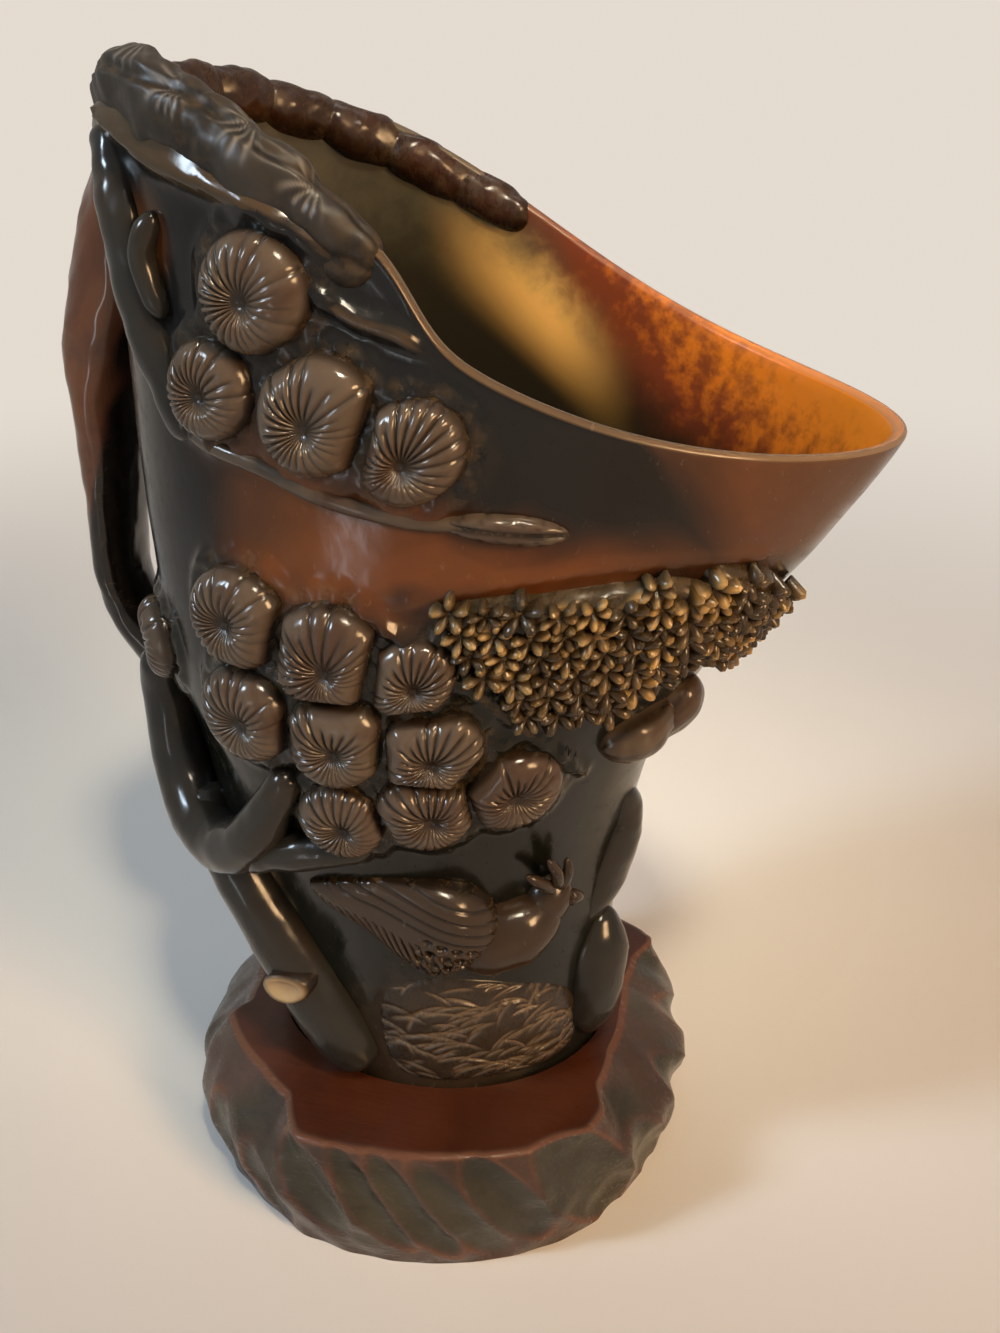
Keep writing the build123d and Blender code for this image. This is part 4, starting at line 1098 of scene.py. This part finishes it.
def spray_shape(corners, seed):
    """A spray: the pad, and flowers on a staggered pattern that is shaken and kept inside the outline."""
    draw = np.random.default_rng(seed)
    middle, outline = flat_outline(corners)
    around, up, _ = wall_axes(*middle)
    shapes = [pad_shape(corners, seed)]
    span = np.arange(-10, 11)
    rows, cols = np.meshgrid(span, span, indexing="ij")
    places = np.stack([cols + 0.5 * (rows % 2), rows * 0.86], -1).reshape(-1, 2) * FLOWER_STEP
    places = places + draw.uniform(-0.4, 0.4, places.shape)
    bearing = np.arctan2(places[:, 1], places[:, 0])
    places = places[np.linalg.norm(places, axis=-1) < edge_reach(outline, bearing) - EDGE_ROOM]
    for u, v in places:
        angle = middle[0] + math.degrees(u / np.linalg.norm(around))
        height = middle[1] + v / np.linalg.norm(up)
        size = FLOWER_RADIUS * draw.uniform(0.85, 1.15)
        lean = draw.uniform(-0.25, 0.25, 2)
        # Each flower's share of painted gold glint.
        turn_by, glint_share = draw.uniform(0, 1.2566), 0.75 * draw.uniform(0, 1) ** 2
        shapes.append(flower_shape(angle, height, size, turn_by, lean, glint_share))
    return join(shapes)


for name, corners, nodes, seed in (
    ("front_blossoms", FRONT_SPRAY, "blossom_spray_front", 61),
    ("spout_blossoms", SPOUT_SPRAY, "blossom_spray_spout", 65),
    ("back_blossoms", BACK_SPRAY, "blossom_spray_back", 69),
):
    put_piece(name, spray_shape(corners, seed), BLOSSOM_HORN, [nodes], sharp=38)

# %% [markdown]
# Lumps are the small rounded forms: a curled leaf under the spray, rocks at the foot, and the bird's body
# and head. Each is an egg lying on the wall with its long axis leaning. A leaf is a lump with a rib and
# slanting veins cut into it, and one such leaf ends the thin twig that crosses the amber below the rim.

# %% Lumps, rocks and leaves
# A lump is its angle, height, half length, radius and lean in degrees.
CURLED_LEAF = [(-25, 71.5, 6.8, 4.8, 20), (-14, 72.5, 6.2, 4.8, 65)]
ROCK_CURL, BACK_ROCK = (-13, 16, 13.0, 6.0, 80), (58, 15, 13.0, 6.5, 70)
TWIG_LEAF, BACK_LEAF = (-67, 109.8, 8.5, 2.2, -4), (30, 66, 10.0, 5.5, -30)
RIM_TWIG = [(-70, 110.4, -0.4, 1.2), (-78, 110.4, -0.1, 1.3), (-90, 112.5, -0.2, 1.3), (-102, 116, -0.3, 1.3),
            (-113, 118, -0.4, 1.2), (-120, 121, -0.6, 1.0)]
LUMP_ROWS, LUMP_SIDES, VEIN_STEP, VEIN_DEPTH = 34, 36, 2.6, 0.7


def long_axis(around, up, lean):
    """A direction along the wall that leans up from the way round the cup."""
    return unit(around) * math.cos(math.radians(lean)) + unit(up) * math.sin(math.radians(lean))


def lump_shape(place, seed, **look):
    """A lump: rings along its long axis, as wide as an ellipse is there."""
    angle, height, half_length, radius, lean = place
    around, up, out = wall_axes(angle, height)
    share = np.sin(np.linspace(-0.49, 0.49, LUMP_ROWS) * np.pi)
    centres = wall(angle, height) + long_axis(around, up, lean) * (share * half_length)[:, None]
    width = radius * np.sqrt(1 - share**2)
    outward = np.broadcast_to(out, centres.shape)
    lump = limb_shape(centres, outward, width, seed, sides=LUMP_SIDES, taper=0.01, **look)
    return seat(lump, centres, outward)


def leaf_shape(place, seed):
    """A leaf: a lump cut by a groove along its middle and by slanting veins, both left dark."""
    points, quads, tris, worn = lump_shape(place, seed, lumps=0.06)
    angle, height, _, _, lean = place
    around, up, out = wall_axes(angle, height)
    axis = long_axis(around, up, lean)
    offset = points - wall(angle, height)
    along, across = offset @ axis, offset @ np.cross(out, axis)
    rib = np.exp(-((across / 0.5) ** 2))
    vein = np.clip(np.sin(2 * np.pi * (along - 0.9 * np.abs(across)) / VEIN_STEP), 0, 1) ** 4
    cuts = np.maximum(rib, 0.6 * vein * ramp(np.abs(across), 0.3, 1.0))
    points = points - out * (VEIN_DEPTH * cuts * ramp(offset @ out, 0.0, 1.5))[:, None]
    return points, quads, tris, np.clip(worn - 0.6 * cuts, 0, 1)


twig = join([branch_shape(RIM_TWIG, 33, rows=110, lumps=0.06), leaf_shape(TWIG_LEAF, 34)])
curled_leaf = join([lump_shape(place, 71, lumps=0.08, grooves=0.05, count=5) for place in CURLED_LEAF])
put_piece("rim_twig_limb", twig, TUFT_HORN, ["rim_twig"])
put_piece("curled_leaf_lump", curled_leaf, TUFT_HORN, ["curled_leaf"])
put_piece("rock_curl_lump", lump_shape(ROCK_CURL, 72, lumps=0.05), BRANCH_HORN, ["rock_curl"])
put_piece("back_rock_lump", lump_shape(BACK_ROCK, 73, lumps=0.05), BRANCH_HORN, ["back_rock"])
put_piece("back_leaf_lump", leaf_shape(BACK_LEAF, 74), TUFT_HORN, ["back_leaf"])

# %% [markdown]
# Low on the trunk a side branch is sawn off. Its slanting cut face shows the pale amber inside of the horn,
# which makes it a bright spot on the dark trunk. A cylinder with a bevel would do, but the cut would be too
# exact; here the rings wobble, the edge is rolled and the face is a little hollow.

# %% Branch stub
STUB_PLACE, STUB_RADIUS, STUB_TILT, STUB_SPOKES = (-112.5, 21.5), 3.2, -0.5, 40
# Ring by ring: how far out it lies, its share of the tilt, of the radius, and how worn it is.
STUB_RINGS = np.array([(-2.0, 0.0, 1.1, 0.0), (2.0, 0.0, 1.08, 0.0), (5.0, 0.5, 1.0, 0.05),
                       (7.2, 1.0, 1.0, 0.1), (8.0, 1.0, 0.9, 0.5), (7.9, 1.0, 0.7, 0.9),
                       (7.4, 1.0, 0.5, 1.0), (7.3, 1.0, 0.2, 1.0)])


def stub_shape():
    """A sawn-off branch end: rings straight out of the wall, a rolled edge, and a slanting hollow face."""
    turn = np.linspace(0, 2 * np.pi, STUB_SPOKES, endpoint=False)
    out, lean, reach, worn = (STUB_RINGS[:, n : n + 1] for n in range(4))
    wobble = 1 + 0.05 * np.sin(3 * turn + 1)
    across = np.cos(turn) * (reach * STUB_RADIUS) * wobble
    up = np.sin(turn) * (reach * STUB_RADIUS) * wobble
    points = drape(*STUB_PLACE, across, up, out + lean * STUB_TILT * across)
    return closed_grid(points, np.broadcast_to(worn, points.shape[:2]))


put_piece("branch_stub_end", stub_shape(), CUT_HORN, ["branch_stub"])

# %% [markdown]
# The bird perches low on the front, tail to the left. Its wing and tail are one draped panel whose height is
# a sum of simple patterns: a rounded plate, slanting strokes along the lower edge, rows of drilled scales,
# and long feather lines above. Body and head are lumps, and crest and beak are short branches.

# %% The bird
BIRD_BODY, BIRD_HEAD = (-50, 34, 10.0, 6.4, 28), (-38, 39.5, 5.0, 4.2, 60)
CREST_AND_BEAK = [[(-39, 43, 2.4, 1.3), (-43, 46, 3.0, 1.1), (-47, 48, 2.4, 0.6)],
                  [(-38, 44, 2.6, 1.3), (-39.5, 48, 3.4, 1.1), (-42, 51, 3.0, 0.6)],
                  [(-36.5, 43, 2.4, 1.2), (-36, 47, 3.2, 1.0), (-36.5, 50, 2.8, 0.6)],
                  [(-34.5, 40.5, 2.6, 1.8), (-31, 39.5, 2.6, 1.2), (-27.5, 38, 1.8, 0.5)]]
WING = [(-103, 43), (-84, 47), (-60, 46), (-52, 36), (-66, 28), (-80, 31), (-92, 37)]
WING_RINGS, WING_SPOKES, WING_TILT = 60, 260, -22
STROKE_STEP, SCALE_STEP, FEATHER_STEP = 1.5, 2.2, 2.1


def wing_shape():
    """The wing and tail: a rounded plate with slanting strokes, scale pits in rows, and long lines above."""
    middle, s, u, v = panel_grid(WING, 0.02, WING_RINGS, WING_SPOKES)
    tilt = math.radians(WING_TILT)
    a = u * math.cos(tilt) + v * math.sin(tilt)
    b = -u * math.sin(tilt) + v * math.cos(tilt)
    stroke = np.clip(np.sin(2 * np.pi * (a + 0.8 * b) / STROKE_STEP), 0, 1) * ramp(-b, 0.5, 2.0)
    half = SCALE_STEP / 2
    row = np.floor(b / SCALE_STEP)
    cell = ((a + half * (row % 2)) % SCALE_STEP) - half
    pit = np.exp(-((np.hypot(cell, b - row * SCALE_STEP - half) / 0.7) ** 4))
    pit = pit * ramp(a, 1, 5) * ramp(-b, -2.5, -0.5)
    lines = np.clip(np.sin(2 * np.pi * b / FEATHER_STEP), 0, 1) ** 3 * ramp(b, 0.8, 2.2)
    plate = (2.6 + 3.8 * ramp(a, -6, 8)) * (1 - s**5) ** 0.6
    w = plate - 0.5 * stroke - 1.1 * pit - 0.35 * lines - 0.6 * ramp(s, 0.95, 1)
    worn = np.clip(0.8 - 0.7 * stroke - 0.8 * pit - 0.5 * lines - 0.5 * ramp(s, 0.9, 1), 0, 1)
    return panel_shape(middle, u, v, w, worn, 1.5)


feathers = [branch_shape(route, 84, rows=16, lumps=0.03, grooves=0.08, count=3, sides=14, taper=1.5)
            for route in CREST_AND_BEAK]
put_piece("bird_body_lump", lump_shape(BIRD_BODY, 81), BIRD_HORN, ["bird_body"])
put_piece("bird_head_lump", join([lump_shape(BIRD_HEAD, 82)] + feathers), BIRD_HORN, ["bird_head"])
put_piece("bird_wing_sheet", wing_shape(), BIRD_HORN, ["bird_tail"])

# %% [markdown]
# The ground panel at the foot is scratched all over with short curved strokes, and a leaf hangs on the lip
# side. A bump texture could fake the strokes, but they are deep enough to catch the light from any side, so
# each is a bell-shaped groove along a short bent line, worked out over the whole grid of the panel.

# %% Ground panel and hanging leaf
GROUND_PANEL = [(-90, 20), (-70, 25), (-46, 22), (-25, 15), (-24, 3), (-56, 1.5), (-88, 3)]
GROUND_RINGS, GROUND_SPOKES, SCRATCHES = 64, 240, 130
HANGING_LEAF = [(-10, 53, -1.0, 3.6), (-4, 47, -1.0, 5.0), (-6, 39, -1.2, 5.6), (-13, 31, -1.4, 4.4),
                (-19, 27, -1.5, 3.0)]


def ground_shape():
    """The ground: a low plate with many short scratches, each a sunk line that bends a little."""
    draw = np.random.default_rng(91)
    middle, s, u, v = panel_grid(GROUND_PANEL, 0.02, GROUND_RINGS, GROUND_SPOKES)
    cuts = np.zeros_like(u)
    for _ in range(SCRATCHES):
        cu, cv = draw.uniform(-18, 18), draw.uniform(-10, 10)
        tilt, length = draw.normal(0.1, 0.5), draw.uniform(1.5, 3.5)
        a = (u - cu) * math.cos(tilt) + (v - cv) * math.sin(tilt)
        b = -(u - cu) * math.sin(tilt) + (v - cv) * math.cos(tilt) + 0.06 * a**2
        cuts = np.maximum(cuts, np.exp(-((a / length) ** 4) - (b / 0.24) ** 2))
    w = 1.5 * (1 - s**3) ** 0.8 - 0.5 * cuts * ramp(1 - s, 0.0, 0.1) - 0.4 * ramp(s, 0.94, 1)
    worn = np.clip(0.25 + 0.75 * cuts - 0.15 * ramp(s, 0.75, 1), 0, 1)
    return panel_shape(middle, u, v, w, worn, 1.2)


put_piece("ground_scratches", ground_shape(), GROUND_HORN, ["ground_panel"])
put_piece(
    "hanging_leaf_limb", branch_shape(HANGING_LEAF, 95, flat=0.8, taper=10.0), BRANCH_HORN, ["hanging_leaf"])

# %% [markdown]
# The stand is carved to look like rock or waves: its swelling side is cut all over with slanting spoon
# gouges whose edges are rubbed. Boolean cuts would make hundreds of thin faces here. A depth over turn and
# height keeps the grid even, and the same numbers tell where a ridge is left standing.

# %% Gouges of the stand
BELLY_REACH, GOUGE_SLANT = 48.6, 52.0
# A gouge is its turn, height, half length, half width and depth.
STAND_GOUGES = [(-169, 9, 11, 5.0, 1.8), (-150, 11, 11, 5.5, 1.8), (-128, 9, 10, 5.0, 1.6),
                (-113, 8, 9, 4.5, 1.5), (-99, 14, 11, 5.6, 2.2), (-86, 14, 13, 3.6, 2.1),
                (-77, 13, 14, 4.0, 2.3), (-67, 12, 15, 4.4, 1.6), (-57, 14, 13, 5.0, 2.4),
                (-38, 13, 17, 7.6, 3.0), (-17, 8, 11, 5.0, 1.8), (4, 9, 12, 5.6, 2.2), (26, 9, 12, 5.6, 2.0),
                (47, 13, 14, 6.0, 2.6), (66, 12, 14, 5.6, 2.2), (86, 13, 15, 6.6, 2.8),
                (108, 10, 13, 5.8, 2.2), (130, 13, 15, 6.6, 2.6), (151, 11, 13, 5.6, 2.2),
                (172, 12, 13, 6.0, 2.2)]


def gouge_depth(turn, z):
    """Depth of the deepest of many spoon cuts, each an oval bowl along its slant, and how near a ridge is:
    at the edge of a cut, or where two cuts meet."""
    slant = math.radians(GOUGE_SLANT)
    best = np.full(np.broadcast(turn, z).shape, -9.0)
    second = best
    for middle, height, half_length, half_width, deep in STAND_GOUGES:
        arc = np.radians((turn - middle + 180) % 360 - 180) * BELLY_REACH
        along = arc * math.cos(slant) - (z - height) * math.sin(slant)
        across = arc * math.sin(slant) + (z - height) * math.cos(slant)
        depth = deep * (1 - (along / half_length) ** 2 - (across / half_width) ** 2)
        second = np.maximum(second, np.minimum(best, depth))
        best = np.maximum(best, depth)
    ridge = np.maximum(np.exp(-((best / 0.55) ** 2)), np.exp(-(((best - second) / 0.45) ** 2)) * (second > 0))
    return np.maximum(best, 0), np.maximum(ridge, 0.5 * (best < 0))


print(len(STAND_GOUGES), "gouges, the deepest", max(gouge[-1] for gouge in STAND_GOUGES), "mm")

# %% [markdown]
# The stand itself is one closed skin in polar form: recess floor, recess wall, flat top, gouged side and
# underside. The outline of the flat top wanders in and out, and the side swells from it to a belly and draws
# in to the base. The recess follows the foot of the cup with a little room, so the cup lifts straight out.

# %% The stand
# The flat top's outline, by turn and reach.
PLATEAU = [(-167, 36.2), (-155, 37.5), (-151, 41.3), (-126, 39.5), (-113, 40.3), (-107, 44.4), (-103, 46.8),
           (-86, 45.2), (-69, 45.0), (-50, 46.5), (-39, 47.0), (-32, 44.7), (-27, 39.8), (-13, 36.0),
           (5, 34.7), (20, 35.0), (32, 39.0), (38, 45.0), (50, 42.0), (66, 40.0), (84, 45.5), (98, 40.0),
           (112, 38.0), (128, 40.0), (138, 46.0), (160, 41.0)]
BASE_REACH, BELLY_HEIGHT, FOOT_CLEARANCE, EDGE_ROUNDING = 45.5, 12.0, 0.3, 0.35
STAND_SPOKES, TOP_ROWS, SIDE_ROWS = 720, 14, 48


def rings(way, reach, z):
    """Points by reach along each turn's way, at the given heights."""
    return np.concatenate([way * reach[..., None], np.broadcast_to(z, reach.shape)[..., None]], -1)


def stand_shape():
    """The stand: at each turn the top's outline swells to a belly and draws in to the base, less gouges."""
    turn = np.linspace(0, 360, STAND_SPOKES, endpoint=False) - 180
    way = np.stack([np.cos(np.radians(turn)), np.sin(np.radians(turn))], -1)
    edge = np.interp(turn, *np.transpose(PLATEAU), period=360)
    edge = (edge + np.roll(edge, 2) + np.roll(edge, -2)) / 3
    z = STAND_HEIGHT * np.linspace(1, 0, SIDE_ROWS)[:, None]
    fall = np.clip((STAND_HEIGHT - z) / (STAND_HEIGHT - BELLY_HEIGHT), 0, 1)
    belly = BELLY_REACH - 0.14 * (46 - edge)
    reach = edge + (belly - edge) * np.sin(fall**1.15 * np.pi / 2)
    reach = reach + (BASE_REACH - BELLY_REACH) * (1 - ramp(z, -2, BELLY_HEIGHT))
    gouge, ridge = gouge_depth(turn, z)
    rough = 0.25 * uneven(np.stack(np.broadcast_arrays(turn * 0.8, z, 0 * z), -1), 6, 17)
    reach = reach - gouge + rough * ramp(STAND_HEIGHT - z, 1, 4)
    side = rings(way, reach, z)
    side[0, :, 2] -= EDGE_ROUNDING
    foot = wall(turn, -RECESS_DEPTH)
    bearing = np.degrees(np.arctan2(foot[:, 1], foot[:, 0]))
    rim = np.interp(turn, bearing, np.linalg.norm(foot[:, :2], axis=-1), period=360) + FOOT_CLEARANCE + 0.25
    top = rings(way, rim + (reach[0] - 0.5 - rim) * np.linspace(0, 1, TOP_ROWS)[:, None], STAND_HEIGHT)
    floor = rings(way, rim[None], STAND_HEIGHT - RECESS_DEPTH)
    points = np.concatenate([floor * [0.5, 0.5, 1], floor, top, side, side[-1:] * [0.5, 0.5, 1]])
    worn = np.full(points.shape[:2], 0.4)
    worn[2 + TOP_ROWS : -1] = ridge * np.clip(0.75 + 0.5 * uneven(side, 14, 18), 0.25, 1)
    worn[1 + TOP_ROWS : 4 + TOP_ROWS] = 0.95
    return closed_grid(points, worn)


stand = put_piece(
    "stand_carving", stand_shape(), STAND_WOOD, ["wood_stand"], body="stand", sharp=50)
flat_top = np.repeat(np.arange(2 + TOP_ROWS + SIDE_ROWS + 1) < 1 + TOP_ROWS, STAND_SPOKES)
mark_points(stand.data, "flat_top", np.append(flat_top, [True, False]))

# %% [markdown]
# The object stands on a plain pale floor. Far from the object the floor fades into the same pale tone as the
# world, so that no horizon shows from any side: rays from the camera see that tone, reflections see part of
# it, and the light on the object comes from the lamps.

# %% Floor
PALE_TONE, FLOOR_COLOUR, REFLECTED_SHARE = (0.78, 0.71, 0.63, 1), (0.8, 0.77, 0.73, 1), 0.4
FLOOR_HALF, FADE_START, FADE_END = 6.0, 0.14, 0.6


def pale_share(tree):
    """How much of the pale tone a ray sees: all from the camera, part in a reflection or through glass."""
    rays = node(tree, "ShaderNodeLightPath").outputs
    mirrored = math_node(tree, "MAXIMUM", rays["Is Glossy Ray"], rays["Is Transmission Ray"])
    return math_node(tree, "MAXIMUM", rays["Is Camera Ray"], times(tree, mirrored, REFLECTED_SHARE))


def floor_surface():
    """A flat square of pale floor, whose material fades with the distance from the middle."""
    mesh = bpy.data.meshes.new("floor")
    corners = np.array([(-1, -1, 0), (1, -1, 0), (1, 1, 0), (-1, 1, 0)]) * FLOOR_HALF
    mesh.from_pydata(corners.tolist(), [], [(0, 1, 2, 3)])
    floor = bpy.data.objects.new("floor", mesh)
    bpy.context.collection.objects.link(floor)
    pale, tree, shader, place = start_material("pale_floor", 0.9, 0.0)
    shader.inputs["Base Color"].default_value = FLOOR_COLOUR
    away = node(tree, "ShaderNodeVectorMath", {0: place}, operation="LENGTH").outputs["Value"]
    far = times(tree, spread(tree, away, FADE_START, FADE_END), pale_share(tree))
    tone = node(tree, "ShaderNodeEmission", {"Color": PALE_TONE})
    both = node(tree, "ShaderNodeMixShader", {0: far, 1: shader.outputs[0], 2: tone.outputs[0]})
    tree.links.new(both.outputs[0], tree.nodes["Material Output"].inputs["Surface"])
    mesh.materials.append(pale)
    return floor


floor_surface()
print("floor", 2 * FLOOR_HALF, "m wide, fading from", FADE_START, "to", FADE_END, "m")

# %% [markdown]
# A warm lamp stands at the right and cooler ones at the left, as in a room with a lamp and a window. A
# narrow strip gives the polished horn its long highlight, a small warm beam lights the inside of the cup,
# and a soft lamp behind brightens the floor. Area lamps are used because gloss shows the shape of a lamp,
# and a rectangle looks like a window.

# %% Lamps
def area_lamp(name, place, aim, size, power, colour, beam=180):
    """A rectangular lamp aimed at a point; beam is how wide its light spreads, in degrees."""
    lamp = bpy.data.lights.new(name, "AREA")
    lamp.shape = "RECTANGLE"
    lamp.size, lamp.size_y = size
    lamp.energy = power
    lamp.color = colour
    lamp.spread = math.radians(beam)
    made = bpy.data.objects.new(name, lamp)
    made.location = place
    way = np.array(place) - np.array(aim)
    tilt = math.acos(way[2] / np.linalg.norm(way))
    made.rotation_euler = (tilt, 0, math.atan2(way[1], way[0]) + math.pi / 2)
    made.visible_camera = False
    bpy.context.collection.objects.link(made)


area_lamp("warm_right", (0.7, -0.4, 0.5), (0, 0, 0.1), (0.25, 0.25), 6.0, (1.0, 0.62, 0.31))
area_lamp("warm_top", (0.25, -0.35, 0.85), (0.01, 0.02, 0.16), (0.1, 0.1), 0.09, (1.0, 0.86, 0.64), 22)
area_lamp("cool_left", (-0.55, -0.45, 0.55), (0, 0, 0.12), (0.14, 0.2), 0.75, (0.68, 0.84, 1.0), 80)
area_lamp("strip_front", (-0.085, -0.3, 0.06), (-0.055, 0, 0.14), (0.012, 0.12), 0.035, (0.85, 0.93, 1.0))
area_lamp("soft_back", (-0.1, 0.4, 1.0), (0, 1.0, 0.5), (0.8, 0.6), 5.5, (1.0, 0.98, 0.95), 160)
print("lamps:", {lamp.name: round(lamp.energy, 3) for lamp in bpy.data.lights})

# %% [markdown]
# The world gives a faint fill from all sides, so that no shadow is quite black. The camera sees the pale
# tone there in its place, as it does on the far floor.

# %% World
FILL_COLOUR, FILL_STRENGTH = (0.95, 0.93, 0.9, 1), 0.1
world = bpy.data.worlds.new("pale_room")
bpy.context.scene.world = world
world.use_nodes = True
room = world.node_tree
fill = room.nodes["Background"]
fill.inputs[0].default_value, fill.inputs[1].default_value = FILL_COLOUR, FILL_STRENGTH
seen = node(room, "ShaderNodeBackground", {"Color": PALE_TONE})
both = node(room, "ShaderNodeMixShader", {0: pale_share(room), 1: fill.outputs[0], 2: seen.outputs[0]})
room.links.new(both.outputs[0], room.nodes["World Output"].inputs["Surface"])
print("world", world.name, "fill", FILL_STRENGTH)

# %% [markdown]
# The camera repeats the photograph: close to the cup, a little to its right and above the lip. Its lens
# follows from a focal length in pixels and the height of the picture, which is how a camera fitted to a
# photo is usually given.

# %% Camera
IMAGE_HEIGHT, FOCAL_PIXELS, SENSOR = 1333, 1400, 36.0
CAMERA_PLACE, CAMERA_AZIMUTH, CAMERA_PITCH = (0.0780, -0.2054, 0.1973), 18.0, 25.5
camera_data = bpy.data.cameras.new("camera")
camera_data.sensor_fit = "VERTICAL"
camera_data.sensor_height = SENSOR
camera_data.lens = SENSOR * FOCAL_PIXELS / IMAGE_HEIGHT
camera = bpy.data.objects.new("camera", camera_data)
camera.location = CAMERA_PLACE
camera.rotation_euler = (math.radians(90 - CAMERA_PITCH), 0, math.radians(CAMERA_AZIMUTH))
bpy.context.collection.objects.link(camera)
bpy.context.scene.camera = camera
bpy.context.scene.view_settings.view_transform = "Standard"
print("lens", round(camera_data.lens, 1), "mm")
